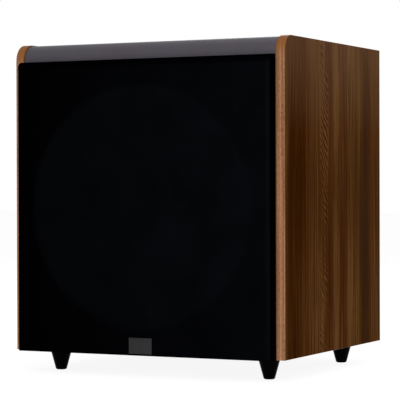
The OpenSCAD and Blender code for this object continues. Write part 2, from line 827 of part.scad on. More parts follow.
module window_brace() {
    z0 = base_z + board_t;
    color(raw_board) along_y(brace_y, brace_t) difference() {
        translate([-inner_w / 2, z0]) square([inner_w, cap_under_z - z0]);
        translate([0, (z0 + cap_under_z) / 2])
            round_rect([inner_w - 2 * brace_border, cap_under_z - z0 - 2 * brace_border], brace_window_r);
    }
}

// One pad on each side wall in front of the brace and one behind it
module wadding_pads() {
    z0 = base_z + board_t + wadding_margin;
    for (span = [[baffle_back_y, brace_y], [brace_back_y, back_inner_y]])
        for (x = [-inner_w / 2, inner_w / 2 - wadding_t])
            color([0.85, 0.85, 0.82]) translate([x, span[0] + wadding_margin, z0])
                cube([wadding_t, span[1] - span[0] - 2 * wadding_margin, cap_under_z - wadding_margin - z0]);
}

module foot() {
    well_r = foot_well_d / 2;
    well_top = foot_h - foot_seat_t;
    hole_r = screw_d / 2 + screw_fit;
    tip_r = foot_tip_d / 2;
    color(black_paint) rotate_extrude() polygon([
        [well_r, 0], [tip_r - foot_chamfer, 0], [tip_r, foot_chamfer], [foot_top_d / 2, foot_h],
        [hole_r, foot_h], [hole_r, well_top], [well_r, well_top]]);
}

module foot_front_left() { foot_spot(-1, -1) foot(); }

module foot_front_right() { foot_spot(1, -1) foot(); }

module foot_rear_left() { foot_spot(-1, 1) foot(); }

module foot_rear_right() { foot_spot(1, 1) foot(); }

module foot_screws() {
    color(steel) foot_spots() translate([0, 0, foot_h - foot_seat_t]) screw(foot_seat_t);
}

// Grille

// Side view of the grille, set in from its front, upper and lower faces
module grille_section(inset, y1) {
    y0 = grille_front_y + inset;
    z0 = grille_bottom_z + inset;
    z1 = grille_top_z - inset;
    top_r = grille_top_r - inset;
    low_r = grille_edge_r - inset;
    translate([y0, z0 + low_r]) square([y1 - y0, z1 - top_r - z0 - low_r]);
    translate([y0 + low_r, z0]) square([y1 - y0 - low_r, z1 - top_r - z0]);
    translate([y0 + top_r, z0]) square([y1 - y0 - top_r, z1 - z0]);
    translate([y0 + top_r, z1 - top_r]) circle(top_r);
    translate([y0 + low_r, z0 + low_r]) circle(low_r);
}

// Plan of the grille, set in from its front and side faces
module grille_plan(inset, y1) {
    y0 = grille_front_y + inset;
    half = grille_w / 2 - inset;
    r = grille_edge_r - inset;
    translate([-half, y0 + r]) square([2 * half, y1 - y0 - r]);
    translate([r - half, y0]) square([2 * (half - r), y1 - y0]);
    for (x = [-1, 1]) translate([x * (half - r), y0 + r]) circle(r);
}

module grille_form(inset, y1) {
    intersection() {
        along_x(-grille_w / 2, grille_w) grille_section(inset, y1);
        translate([0, 0, grille_bottom_z]) linear_extrude(grille_top_z - grille_bottom_z)
            grille_plan(inset, y1);
    }
}

// Moulded frame: a shell open at the back, with a wall round the opening, corner ribs and peg bosses
module grille_frame() {
    depth = grille_back_y - grille_front_y;
    face_d = baffle_y - grille_front_y;
    color(black_paint) difference() {
        union() {
            difference() {
                grille_form(cloth_t, grille_back_y);
                grille_form(cloth_t + grille_wall, grille_back_y + cut);
            }
            intersection() {
                grille_form(cloth_t, grille_back_y);
                union() {
                    woofer_axis() translate([0, 0, -face_d])
                        cylinder(r = opening_r + grille_wall, h = depth, $fn = 180);
                    woofer_axis() for (q = [0:3], k = [0:grille_ribs - 1])
                        rotate(45 + 90 * q + (k - (grille_ribs - 1) / 2) * grille_rib_angle)
                            translate([opening_r, -grille_rib_t / 2, -face_d])
                                cube([grille_w / 2, grille_rib_t, depth]);
                    peg_axes(grille_front_y) cylinder(d = peg_boss_d, h = depth);
                }
            }
        }
        woofer_axis() translate([0, 0, -face_d - cut])
            cylinder(r = opening_r, h = depth + 2 * cut, $fn = 180);
        peg_axes(grille_back_y - peg_seat) cylinder(d = peg_d, h = peg_seat + cut);
    }
}

module grille_cloth() {
    color([0.03, 0.03, 0.035]) difference() {
        grille_form(0, grille_back_y);
        grille_form(cloth_t, grille_back_y + cut);
    }
}

module grille_pegs() {
    color(black_paint) peg_axes(grille_back_y) {
        translate([0, 0, -peg_seat]) cylinder(d = peg_d, h = peg_seat + peg_reach);
        translate([0, 0, peg_reach]) sphere(d = peg_ball_d);
    }
}

module grille_cups() {
    color([0.08, 0.08, 0.08]) peg_axes(baffle_y) difference() {
        union() {
            cylinder(r = cup_r, h = cup_depth);
            cylinder(r = cup_r + cup_flange, h = cup_flange_t);
        }
        translate([0, 0, -cut]) cylinder(r = cup_socket_r, h = cup_depth - cup_floor + cut);
    }
}

// Woofer

module basket_shell() {
    wall = basket_wall;
    rotate_extrude($fn = 180) polygon([
        [skirt_r - wall, surround_t], [rim_r, surround_t], [rim_r, rim_back], [skirt_r, rim_back],
        [skirt_r, skirt_depth], [ledge_r, ledge_depth], [ledge_r, ledge_depth + wall],
        [motor_cup_r, ledge_depth + wall], [motor_cup_r, motor_depth],
        [gap_r + seat_clear, motor_depth], [gap_r + seat_clear, motor_depth - wall],
        [motor_cup_r - wall, motor_depth - wall],
        [motor_cup_r - wall, ledge_depth], [ledge_r - wall, ledge_depth], [skirt_r - wall, skirt_depth]]);
}

// Pressed basket: rim, skirt, arms with windows between them, spider ledge and motor cup
module basket() {
    window_angle = 360 / window_count - asin(arm_w / 2 / skirt_r) * 2;
    color(black_paint) woofer_axis() difference() {
        union() {
            basket_shell();
            translate([motor_cup_r - basket_wall / 2, -strip_l / 2, strip_depth - strip_w / 2])
                cube([strip_pad_r - motor_cup_r + basket_wall / 2, strip_l, strip_w]);
        }
        for (i = [0:window_count - 1]) rotate(i * 360 / window_count - window_angle / 2)
            rotate_extrude(angle = window_angle) polygon([
                [ledge_r + window_margin, skirt_depth + window_margin], [rim_r, skirt_depth + window_margin],
                [rim_r, ledge_depth - window_margin],
                [ledge_r + window_margin, ledge_depth - window_margin]]);
        rim_screw_axes() cylinder(r = screw_d / 2 + screw_fit, h = rim_back + cut);
    }
}

module woofer_gasket() {
    color([0.1, 0.1, 0.1]) woofer_axis() difference() {
        ring(surround_foot_d / 2 - surround_foot_w, rim_r - seat_clear, -rim_gasket_t, 0);
        rim_screw_axes() translate([0, 0, -rim_gasket_t - cut])
            cylinder(d = screw_head_d + 2 * screw_fit, h = rim_gasket_t + 2 * cut);
    }
}

module front_plate() {
    color(steel) woofer_axis() ring(gap_r, steel_d / 2, motor_depth, magnet_depth);
}

module ferrite_magnet() {
    color([0.2, 0.2, 0.21]) woofer_axis()
        ring(magnet_bore_d / 2, magnet_d / 2, magnet_depth, back_plate_depth);
}

module pole_piece() {
    color(steel) woofer_axis() rotate_extrude() {
        translate([vent_d / 2, motor_depth]) square([(pole_d - vent_d) / 2, magnet_t + 2 * steel_t]);
        translate([vent_d / 2, back_plate_depth]) square([(steel_d - vent_d) / 2, steel_t]);
    }
}

module woofer_terminals() {
    color([0.45, 0.25, 0.12]) woofer_axis() {
        translate([strip_pad_r, -strip_l / 2, strip_depth - strip_w / 2]) cube([strip_t, strip_l, strip_w]);
        for (y = [-1, 1]) translate([strip_pad_r + strip_t, y * tab_pitch / 2, strip_depth])
            translate([0, -tab_size[1] / 2, -tab_size[2] / 2]) cube(tab_size);
    }
}

module woofer_screws() {
    color(steel) woofer_axis() rim_screw_axes() translate([0, 0, surround_t]) screw(rim_t);
}

module cone() {
    steps = 10;
    front = [for (i = [0:steps]) let (t = i / steps)
        [cone_lip_r + (former_r - cone_lip_r) * t, cone_face(t)]];
    back = [for (i = [steps:-1:0]) front[i] + [0, cone_t]];
    color([0.09, 0.09, 0.1]) woofer_axis() rotate_extrude($fn = 180)
        polygon(concat([[cone_r, surround_t]], front, back, [[cone_r, surround_t + cone_t]]));
}

module dust_cap() {
    r = dust_cap_d / 2;
    base = cone_face(cone_share(r));
    dome_r = (r * r + dust_cap_h * dust_cap_h) / (2 * dust_cap_h);
    color([0.07, 0.07, 0.08]) woofer_axis() rotate_extrude($fn = 180) intersection() {
        translate([0, base - dust_cap_h + dome_r]) difference() {
            circle(dome_r);
            circle(dome_r - dust_cap_t);
        }
        translate([0, base - dust_cap_h - cut]) square([r + cut, dust_cap_h + cut]);
    }
}

module coil_former() {
    color([0.75, 0.6, 0.35]) woofer_axis()
        ring(former_r - former_t, former_r, neck_depth - cone_t, winding_end);
}

module voice_coil() {
    color([0.72, 0.42, 0.2]) woofer_axis() ring(former_r, coil_r, winding_end - winding_h, winding_end);
}

// Half-roll rubber edge between the cone's lip and the basket's rim
module surround() {
    foot_in = surround_foot_d / 2 - surround_foot_w;
    roll_r = (foot_in - cone_r) / 2;
    mid_r = (foot_in + cone_r) / 2;
    color([0.05, 0.05, 0.05]) woofer_axis() rotate_extrude($fn = 180) {
        translate([mid_r, surround_t]) intersection() {
            difference() {
                circle(roll_r);
                circle(roll_r - surround_t);
            }
            translate([-roll_r, -roll_r]) square([2 * roll_r, roll_r]);
        }
        translate([cone_lip_r, 0]) square([cone_lip + surround_t, surround_t]);
        translate([foot_in - surround_t, 0]) square([surround_foot_w + surround_t, surround_t]);
    }
}

// Corrugated cloth disc that centres the coil
module spider() {
    in_r = former_r + spider_rim;
    out_r = motor_cup_r - basket_wall - seat_clear;
    steps = spider_waves * 6;
    upper = [for (i = [0:steps]) let (t = i / steps)
        [in_r + (out_r - in_r) * t, spider_depth + spider_wave_h * sin(t * spider_waves * 360)]];
    lower = [for (i = [steps:-1:0]) upper[i] + [0, spider_t]];
    color([0.8, 0.66, 0.35]) woofer_axis() rotate_extrude() polygon(concat(
        [[former_r, spider_depth]], upper, [[spider_outer_r, spider_depth], [spider_outer_r, ledge_depth]],
        lower, [[former_r, ledge_depth]]));
}

// Amplifier

module plate_hole(spot, r) {
    amp_face(spot[0], spot[1]) cylinder(r = r, h = plate_out + cut);
}

module plate_slot(spot, size) {
    amp_face(spot[0], spot[1]) slab(size, 0, plate_out + cut);
}

module amp_plate() {
    color([0.09, 0.09, 0.1]) difference() {
        amp_face() translate([0, 0, plate_in]) linear_extrude(amp_plate_t)
            round_rect([amp_w, amp_h], amp_corner_r);
        for (p = amp_screw_spots) plate_hole(p, screw_d / 2 + screw_fit);
        for (u = [level_u, crossover_u]) plate_hole([u, control_v], bush_d / 2 + pass_fit);
        plate_hole([led_u, control_v], led_d / 2 + pass_fit);
        for (p = jack_spots) plate_hole(p, stem_d / 2 + pass_fit);
        plate_slot([phase_u, control_v], phase_slot);
        plate_slot([block_u, block_v], block_tail + pass_gap);
        plate_slot([switch_u, mains_v], switch_case + pass_gap);
        plate_slot([inlet_u, mains_v], inlet_case + pass_gap);
    }
    color(steel) {
        for (p = control_spots) amp_face(p[0], p[1]) translate([0, 0, control_face])
            cylinder(d = standoff_d, h = control_gap + amp_plate_t / 2);
        for (p = board_spots) amp_face(p[0], p[1]) translate([0, 0, board_face])
            cylinder(d = standoff_d, h = board_gap + amp_plate_t / 2);
    }
}

module amp_gasket() {
    color([0.15, 0.15, 0.15]) difference() {
        amp_face() linear_extrude(amp_gasket_t) difference() {
            round_rect([amp_w, amp_h], amp_corner_r);
            amp_hole();
        }
        for (p = amp_screw_spots) amp_face(p[0], p[1]) translate([0, 0, -cut])
            cylinder(r = screw_d / 2 + screw_fit, h = amp_gasket_t + 2 * cut);
    }
}

// Extruded heat sink: a flat base with tapered fins
module heat_sink() {
    fin_h = sink_h - sink_base_t;
    pitch = (sink_w - fin_root_t) / (fin_count - 1);
    root = fin_root_t / 2;
    tip = fin_tip_t / 2;
    color([0.12, 0.12, 0.13]) amp_face(0, sink_v) translate([0, sink_l / 2, plate_out]) rotate([90, 0, 0])
        linear_extrude(sink_l) {
            translate([-sink_w / 2, 0]) square([sink_w, sink_base_t]);
            for (i = [0:fin_count - 1])
                translate([(i - (fin_count - 1) / 2) * pitch, sink_base_t])
                    polygon([[-root, 0], [root, 0], [tip, fin_h], [-tip, fin_h]]);
        }
}

module amp_screws() {
    color(steel) for (p = amp_screw_spots)
        amp_face(p[0], p[1]) translate([0, 0, plate_out]) rotate([180, 0, 0]) screw(plate_out);
}

module amp_board() {
    color([0.1, 0.35, 0.16]) amp_face(0, board_v) slab([board_w, board_h], board_face - pcb_t, board_face);
}

module filter_capacitors() {
    color([0.1, 0.1, 0.3]) for (u = [-1, 1])
        amp_face(u * capacitor_pitch / 2, board_v) translate([0, 0, board_face - pcb_t - capacitor_h])
            cylinder(d = capacitor_d, h = capacitor_h);
}

module control_board() {
    color([0.1, 0.35, 0.16]) amp_face(control_board_u, control_v)
        slab([control_w, control_h], control_face - pcb_t, control_face);
}

module control_pots() {
    bore_r = shaft_d / 2 + shaft_fit;
    color([0.3, 0.3, 0.32]) for (u = [level_u, crossover_u]) amp_face(u, control_v) difference() {
        union() {
            slab([pot_w, pot_w], control_face, control_face + pot_t);
            translate([0, 0, control_face]) cylinder(d = bush_d, h = plate_out + bush_reach - control_face);
        }
        translate([0, 0, control_face + pot_floor])
            cylinder(r = bore_r, h = plate_out + bush_reach - control_face);
    }
}

module pot_shaft(u) {
    shaft_root = control_face + pot_floor + shaft_fit;
    color(steel) amp_face(u, control_v) translate([0, 0, shaft_root])
        cylinder(d = shaft_d, h = shaft_tip - shaft_root);
}

module level_shaft() { pot_shaft(level_u); }

module crossover_shaft() { pot_shaft(crossover_u); }

// Fluted knob with a pointer groove from its middle to its edge
module knob(u) {
    r = knob_d / 2;
    color([0.06, 0.06, 0.065]) amp_face(u, control_v) translate([0, 0, knob_base]) difference() {
        rotate_extrude() polygon([
            [0, 0], [r, 0], [r, knob_h - knob_chamfer], [r - knob_chamfer, knob_h], [0, knob_h]]);
        translate([0, 0, -cut]) cylinder(d = knob_hollow_d, h = knob_hollow_h + cut);
        cylinder(d = shaft_d, h = shaft_tip - knob_base);
        for (i = [0:knob_flutes - 1]) rotate((i + 0.5) * 360 / knob_flutes)
            translate([r + flute_r / 3, 0, 2 * flute_r]) cylinder(r = flute_r, h = knob_h, $fn = 24);
        translate([-pointer_w / 2, r / 3, knob_h - pointer_w]) cube([pointer_w, r, knob_h]);
    }
}

module level_knob() { knob(level_u); }

module crossover_knob() { knob(crossover_u); }

module phase_switch() {
    case = [phase_well[0] + 2 * phase_wall, phase_well[1] + 2 * phase_wall];
    well_floor = phase_lid - phase_wall - phase_foot_t - 2 * pass_fit;
    color([0.12, 0.12, 0.12]) amp_face(phase_u, control_v) difference() {
        slab(case, control_face, phase_lid);
        slab(phase_well, well_floor, phase_lid - phase_wall);
        slab(phase_slot, well_floor, phase_lid + cut);
    }
}

module phase_slider() {
    foot_low = phase_lid - phase_wall - phase_foot_t - pass_fit;
    color([0.85, 0.85, 0.85]) amp_face(phase_u, control_v) translate([-phase_travel / 2, 0, 0]) {
        slab([phase_foot_l, phase_foot_w], foot_low, foot_low + phase_foot_t);
        slab(phase_tab, foot_low, plate_out + phase_tab_h);
    }
}

module status_led() {
    flange_face = plate_in - pass_fit;
    color([0.2, 0.6, 0.3]) amp_face(led_u, control_v) {
        translate([0, 0, flange_face - led_flange])
            cylinder(d = led_d, h = plate_out + led_h - led_d / 2 - flange_face + led_flange);
        translate([0, 0, plate_out + led_h - led_d / 2]) sphere(d = led_d);
        translate([0, 0, flange_face - led_flange]) cylinder(d = led_d + 2 * led_flange, h = led_flange);
        for (u = [-1, 1]) translate([u * led_d / 4, 0, control_face])
            cylinder(d = led_leg_d, h = flange_face - control_face);
    }
}

module line_jacks() {
    color([0.8, 0.68, 0.35]) for (p = jack_spots) amp_face(p[0], p[1]) difference() {
        union() {
            translate([0, 0, plate_in - stem_l])
                cylinder(d = stem_d, h = stem_l + amp_plate_t + collar_t + jack_floor);
            translate([0, 0, plate_out + collar_t]) cylinder(d = jack_d, h = jack_l);
        }
        translate([0, 0, plate_out + collar_t + jack_floor]) cylinder(d = jack_bore_d, h = jack_l);
    }
}

module jack_collars() {
    color([0.75, 0.1, 0.1]) for (p = jack_spots)
        amp_face(p[0], p[1]) ring(stem_d / 2, collar_d / 2, plate_out, plate_out + collar_t);
}

// Block with four lever wells, a row of wire holes and a tail through the plate
module terminal_block() {
    well_w = lever_pitch - lever_wall;
    stub_l = lever_stub_l + pass_fit;
    well_top = lever_axis_v + lever_barrel_r + lever_fit;
    well_low = lever_axis_v - lever_l - lever_fit;
    color([0.08, 0.08, 0.085]) difference() {
        union() {
            amp_face(block_u, block_v) slab([block_w, block_h], plate_out, block_face);
            amp_face(block_u, block_v) slab(block_tail, plate_in - tail_l, plate_out + cut);
        }
        for (u = lever_u) {
            amp_face(u, (well_top + well_low) / 2)
                slab([well_w, well_top - well_low], lever_floor, block_face + cut);
            amp_face(u, lever_axis_v) translate([0, 0, lever_axis_w]) rotate([0, 90, 0])
                cylinder(r = lever_stub_r + pass_fit, h = well_w + 2 * stub_l, center = true);
            amp_face(u, wire_hole_v) translate([0, 0, block_face - wire_hole_depth])
                cylinder(d = wire_hole_d, h = wire_hole_depth + cut);
        }
    }
}

module terminal_lever(i) {
    color(i % 2 == 0 ? [0.7, 0.08, 0.08] : [0.05, 0.05, 0.05]) amp_face(lever_u[i - 1], lever_axis_v) {
        translate([0, 0, lever_axis_w]) rotate([0, 90, 0]) {
            cylinder(r = lever_barrel_r, h = lever_w, center = true);
            cylinder(r = lever_stub_r, h = lever_w + 2 * (lever_fit + lever_stub_l), center = true);
        }
        translate([-lever_w / 2, -lever_l, lever_back]) cube([lever_w, lever_l, lever_t]);
    }
}

module terminal_lever_1() { terminal_lever(1); }

module terminal_lever_2() { terminal_lever(2); }

module terminal_lever_3() { terminal_lever(3); }

module terminal_lever_4() { terminal_lever(4); }

module power_switch() {
    color([0.06, 0.06, 0.06]) amp_face(switch_u, mains_v) difference() {
        union() {
            translate([0, 0, plate_out]) linear_extrude(switch_bezel_t)
                round_rect(switch_bezel, switch_bezel_r);
            slab(switch_case, plate_in - switch_depth, plate_out + cut);
        }
        slab(rocker_well, rocker_floor, plate_out + switch_bezel_t + cut);
        translate([0, 0, rocker_axis]) rotate([0, 90, 0])
            cylinder(r = rocker_stub_r + rocker_fit, h = stub_hole_l, center = true);
    }
}

// Two-sided rocker, leaning to its off side at rest
module power_rocker() {
    tip = rocker_rise + rocker_half * tan(rocker_lean);
    root = rocker_root;
    color([0.1, 0.1, 0.1]) amp_face(switch_u, mains_v) translate([0, 0, rocker_axis])
    rotate([-rocker_lean, 0, 0]) {
        rotate([90, 0, 90]) translate([0, 0, -rocker_w / 2]) linear_extrude(rocker_w) polygon([
            [-rocker_half, 0], [-rocker_half / 2, -root], [rocker_half / 2, -root], [rocker_half, 0],
            [rocker_half, tip], [0, rocker_rise], [-rocker_half, tip]]);
        rotate([0, 90, 0]) cylinder(r = rocker_stub_r, h = stub_hole_l - 2 * rocker_fit, center = true);
    }
}

// Outline of the plug's socket: a rectangle with its two upper corners cut off
module socket_outline() {
    x = socket_size[0] / 2;
    y = socket_size[1] / 2;
    c = socket_chamfer;
    polygon([[-x, -y], [x, -y], [x, y - c], [x - c, y], [c - x, y], [-x, y - c]]);
}

module pin_places() {
    for (p = [[-pin_pitch / 2, 0], [pin_pitch / 2, 0], [0, earth_rise]])
        translate([p[0], p[1] - earth_rise / 2, 0]) children();
}

module mains_inlet() {
    well = [drawer_size[0] + 2 * drawer_fit, drawer_size[1] + 2 * drawer_fit];
    color([0.06, 0.06, 0.06]) difference() {
        union() {
            amp_face(inlet_u, mains_v) translate([0, 0, plate_out])
                linear_extrude(inlet_flange_t) round_rect(inlet_flange, inlet_flange_r);
            amp_face(inlet_u, mains_v) slab(inlet_case, inlet_end, plate_out + cut);
        }
        amp_face(inlet_u, socket_v) {
            translate([0, 0, socket_floor]) linear_extrude(socket_depth + cut) socket_outline();
            pin_places() slab(pin_size, inlet_end - cut, socket_floor + cut);
        }
        amp_face(inlet_u, drawer_v) slab(well, drawer_end - drawer_fit, inlet_face + cut);
    }
}

module mains_pins() {
    color([0.8, 0.7, 0.4]) amp_face(inlet_u, socket_v)
        pin_places() slab(pin_size, inlet_end - pin_tail, socket_floor + pin_size[2]);
}

// Drawer with an open trough for the fuse and a ridge to pull it by
module fuse_drawer() {
    trough = [fuse_l + 2 * drawer_fit, fuse_d + 2 * drawer_fit];
    color([0.08, 0.08, 0.08]) amp_face(inlet_u, drawer_v) difference() {
        union() {
            slab(drawer_size, drawer_end, inlet_face);
            slab(drawer_ridge, inlet_face, inlet_face + drawer_pull);
        }
        translate([-trough[0] / 2, -trough[1] / 2, fuse_w - trough[1] / 2])
            cube([trough[0], drawer_size[1], trough[1]]);
    }
}

module fuse() {
    color([0.8, 0.85, 0.85]) amp_face(inlet_u, drawer_v) translate([0, -drawer_fit, fuse_w])
        rotate([0, 90, 0]) cylinder(d = fuse_d, h = fuse_l, center = true);
}

// Inside the box

module transformer() {
    r = transformer_r;
    out_r = transformer_d / 2;
    in_r = transformer_bore_d / 2;
    color([0.75, 0.55, 0.2]) translate([transformer_x, transformer_y, base_z + board_t]) rotate_extrude() {
        translate([in_r, 0]) square([out_r - in_r, transformer_h - r]);
        translate([in_r + r, 0]) square([out_r - in_r - 2 * r, transformer_h]);
        for (x = [in_r + r, out_r - r]) translate([x, transformer_h - r]) circle(r);
    }
}

module woofer_leads() {
    for (s = [-1, 1]) {
        a = lead_start + [0, 0, s * tab_pitch / 2];
        b = lead_end + [s * lead_pitch / 2, 0, 0];
        free = [a + [lead_straight, 0, 0], a + lead_leave,
            a + [lead_turn[0], lead_turn[1], s * lead_turn[2]],
            (a + b) / 2 + lead_sag + [0, 0, s * lead_spread], b + lead_arrive, b - [0, lead_straight, 0]];
        path = concat([a], smooth(free, lead_steps), [b]);
        color(s < 0 ? [0.1, 0.1, 0.1] : [0.7, 0.1, 0.1]) tube(path, lead_r, lead_sides);
    }
}

side_panel_left();
side_panel_right();
top_cap();
bottom_panel();
back_panel();
front_baffle();
window_brace();
wadding_pads();
foot_front_left();
foot_front_right();
foot_rear_left();
foot_rear_right();
foot_screws();
grille_cups();
grille_frame();
grille_cloth();
grille_pegs();
basket();
woofer_gasket();
front_plate();
ferrite_magnet();
pole_piece();
woofer_terminals();
woofer_screws();
cone();
dust_cap();
coil_former();
voice_coil();
surround();
spider();
amp_plate();
amp_gasket();
heat_sink();
amp_screws();
amp_board();
filter_capacitors();
control_board();
control_pots();
transformer();
woofer_leads();
level_shaft();
level_knob();
crossover_shaft();
crossover_knob();
phase_switch();
phase_slider();
status_led();
line_jacks();
jack_collars();
terminal_block();
terminal_lever_1();
terminal_lever_2();
terminal_lever_3();
terminal_lever_4();
power_switch();
power_rocker();
mains_inlet();
mains_pins();
fuse_drawer();
fuse();
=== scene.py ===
# %% [markdown]
# # A powered subwoofer, dressed piece by piece
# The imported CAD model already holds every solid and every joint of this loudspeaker. This lesson adds
# what a CAD solid lacks: soft edges, veneer, cloth, rubber and paint, and the small marks that a hand
# looks for. Nothing is moved. Every new piece is built where the CAD says and rides on the body that
# carries it.

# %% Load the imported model
import json
import math

import bpy
from mathutils import Matrix, Vector
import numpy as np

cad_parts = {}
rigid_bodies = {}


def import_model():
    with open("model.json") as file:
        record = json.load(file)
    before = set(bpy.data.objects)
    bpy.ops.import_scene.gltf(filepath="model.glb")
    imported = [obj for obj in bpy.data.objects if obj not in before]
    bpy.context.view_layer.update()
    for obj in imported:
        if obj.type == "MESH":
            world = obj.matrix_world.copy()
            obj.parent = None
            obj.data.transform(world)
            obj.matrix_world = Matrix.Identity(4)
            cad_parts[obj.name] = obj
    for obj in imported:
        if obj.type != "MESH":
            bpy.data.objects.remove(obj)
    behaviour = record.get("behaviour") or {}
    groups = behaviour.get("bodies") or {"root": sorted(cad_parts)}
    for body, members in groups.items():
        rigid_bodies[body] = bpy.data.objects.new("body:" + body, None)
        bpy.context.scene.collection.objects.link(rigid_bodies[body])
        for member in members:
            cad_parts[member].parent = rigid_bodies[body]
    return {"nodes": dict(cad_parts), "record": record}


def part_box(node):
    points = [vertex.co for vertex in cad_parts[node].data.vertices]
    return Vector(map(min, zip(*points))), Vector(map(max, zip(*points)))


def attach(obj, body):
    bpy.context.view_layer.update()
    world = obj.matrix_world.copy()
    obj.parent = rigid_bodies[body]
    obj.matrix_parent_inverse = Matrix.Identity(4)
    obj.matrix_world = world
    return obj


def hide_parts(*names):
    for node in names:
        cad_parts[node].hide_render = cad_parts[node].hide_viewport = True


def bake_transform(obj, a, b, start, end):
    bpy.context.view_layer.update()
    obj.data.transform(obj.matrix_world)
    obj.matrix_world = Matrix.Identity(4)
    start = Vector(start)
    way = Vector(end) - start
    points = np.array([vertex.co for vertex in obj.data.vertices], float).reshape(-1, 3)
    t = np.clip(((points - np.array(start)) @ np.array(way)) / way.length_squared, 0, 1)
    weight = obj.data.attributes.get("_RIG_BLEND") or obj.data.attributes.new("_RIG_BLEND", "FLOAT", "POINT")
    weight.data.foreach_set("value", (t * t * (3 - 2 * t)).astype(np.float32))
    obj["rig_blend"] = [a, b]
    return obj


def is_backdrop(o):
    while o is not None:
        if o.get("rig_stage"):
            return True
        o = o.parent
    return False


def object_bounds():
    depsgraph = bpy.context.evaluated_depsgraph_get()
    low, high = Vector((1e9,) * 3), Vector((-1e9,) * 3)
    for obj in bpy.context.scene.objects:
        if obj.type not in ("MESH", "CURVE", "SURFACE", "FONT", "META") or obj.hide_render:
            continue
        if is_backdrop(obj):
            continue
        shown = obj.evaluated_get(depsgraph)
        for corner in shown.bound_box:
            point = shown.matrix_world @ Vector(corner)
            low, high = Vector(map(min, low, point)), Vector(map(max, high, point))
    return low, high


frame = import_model()
cad_box = [list(corner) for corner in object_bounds()]
record = frame["record"]
slot_of = {part["node"]: part["material_slot"] for part in record["subparts"]}
body_of = {node: body for body, nodes in record["behaviour"]["bodies"].items() for node in nodes}
bpy.context.scene.view_settings.view_transform = "Standard"
print("CAD box", [[round(v, 4) for v in corner] for corner in cad_box])

# %% [markdown]
# ## The camera
# The photograph was taken with a long lens, a little above the middle of the box and 26 degrees to its
# right. The four straight edges of the box that the photograph shows fix the lens and the place, so both
# are written here as numbers, and the tiny roll is a turn about the camera's own axis.

# %% Place the camera
CAMERA_PLACE = Vector((1.32079, -2.6941, 0.29407))
CAMERA_AZIMUTH = math.radians(26.231)
CAMERA_ELEVATION = math.radians(0.488)
CAMERA_ROLL = math.radians(-0.158)
CAMERA_LENS = 166.541

bpy.ops.object.select_all(action="DESELECT")
bpy.ops.object.camera_add()
camera = bpy.context.active_object
camera.name = "photo_camera"
camera.data.sensor_width = 36
camera.data.lens = CAMERA_LENS
camera.data.clip_end = 60
aim = Matrix.Rotation(CAMERA_AZIMUTH, 4, "Z") @ Matrix.Rotation(math.pi / 2 - CAMERA_ELEVATION, 4, "X")
camera.matrix_world = Matrix.Translation(CAMERA_PLACE) @ aim @ Matrix.Rotation(CAMERA_ROLL, 4, "Z")
bpy.context.scene.camera = camera
print("camera", [round(v, 3) for v in camera.location], "lens", round(camera.data.lens, 1), "mm")

# %% [markdown]
# ## The woofer's leads
# Inside the box a red and a black wire run from the woofer's tabs to the amplifier board. Each is held
# only at its two ends: it leaves its tab straight, bends to the back, sags a little on the way and meets
# the board square on. A wire could be a swept mesh, but a curve with a round bevel keeps its length and
# its bend easy to read. The points are those of the CAD route, joined by the same smooth spline.

# %% Run the two leads
LEAD_RADIUS = 0.0015
LEAD_STEPS = 5
LEAD_FACETS = 3
TAB_END = Vector((0.092, -0.080, 0.25975))
TAB_SPACING = 0.014
BOARD_END = Vector((0.070, 0.1669, 0.329))
BOARD_SPACING = 0.008


def spline_point(before, start, end, after, t):
    """A point on the smooth run from start to end, t from 0 to 1."""
    return 0.5 * (2 * start + (end - before) * t + (2 * before - 5 * start + 4 * end - after) * t ** 2
                  + (3 * start - before - 3 * end + after) * t ** 3)


def lead_route(side):
    """Points of one lead; side is 1 for the upper tab and -1 for the lower one."""
    tab = TAB_END + Vector((0, 0, side * TAB_SPACING / 2))
    pad = BOARD_END + Vector((side * BOARD_SPACING / 2, 0, 0))
    middle = (tab + pad) / 2 + Vector((0.020, 0, -0.014 + side * 0.003))
    # Straight off the tab, two bends to the back, the low middle, and square on to the board
    bends = [tab + Vector((0.006, 0, 0)), tab + Vector((0.022, 0.012, 0)),
             tab + Vector((0.026, 0.034, side * 0.002)), middle, pad + Vector((0.012, -0.060, -0.016)),
             pad - Vector((0, 0.006, 0))]
    points = [tab]
    for i in range(len(bends) - 1):
        before = bends[max(i - 1, 0)]
        after = bends[min(i + 2, len(bends) - 1)]
        for step in range(LEAD_STEPS):
            points.append(spline_point(before, bends[i], bends[i + 1], after, step / LEAD_STEPS))
    return points + [bends[-1], pad]


leads = {}
for name, side in (("woofer_lead_black", -1), ("woofer_lead_red", 1)):
    points = lead_route(side)
    line = bpy.data.curves.new(name, "CURVE")
    line.dimensions = "3D"
    run = line.splines.new("POLY")
    run.points.add(len(points) - 1)
    # A point's radius counts in the curve's box, so the points carry it and the bevel itself is 1
    for spot, point in zip(run.points, points):
        spot.co = (*point, 1)
        spot.radius = LEAD_RADIUS
    line.bevel_depth = 1.0
    line.bevel_resolution = LEAD_FACETS
    line.use_fill_caps = True
    lead = bpy.data.objects.new(name, line)
    bpy.context.scene.collection.objects.link(lead)
    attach(lead, "cabinet")
    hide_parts("woofer_leads")
    leads[name] = lead

# %% [markdown]
# ## Node helpers
# Materials are written in code, so a few small helpers keep them readable. They add a node, feed a socket
# with either a link or a plain value, do one sum, change one range into another, mix two colours, split a
# place into its axes, lay down noise, and start a node group with named sockets.

# %% Helpers for shader nodes
def add_node(tree, kind, **settings):
    """Adds a shader node and sets its own options."""
    made = tree.nodes.new("ShaderNode" + kind)
    for key, value in settings.items():
        setattr(made, key, value)
    return made


def feed(tree, value, socket):
    """Links a socket to another one, or gives it a plain value."""
    if isinstance(value, bpy.types.NodeSocket):
        tree.links.new(value, socket)
    else:
        socket.default_value = value


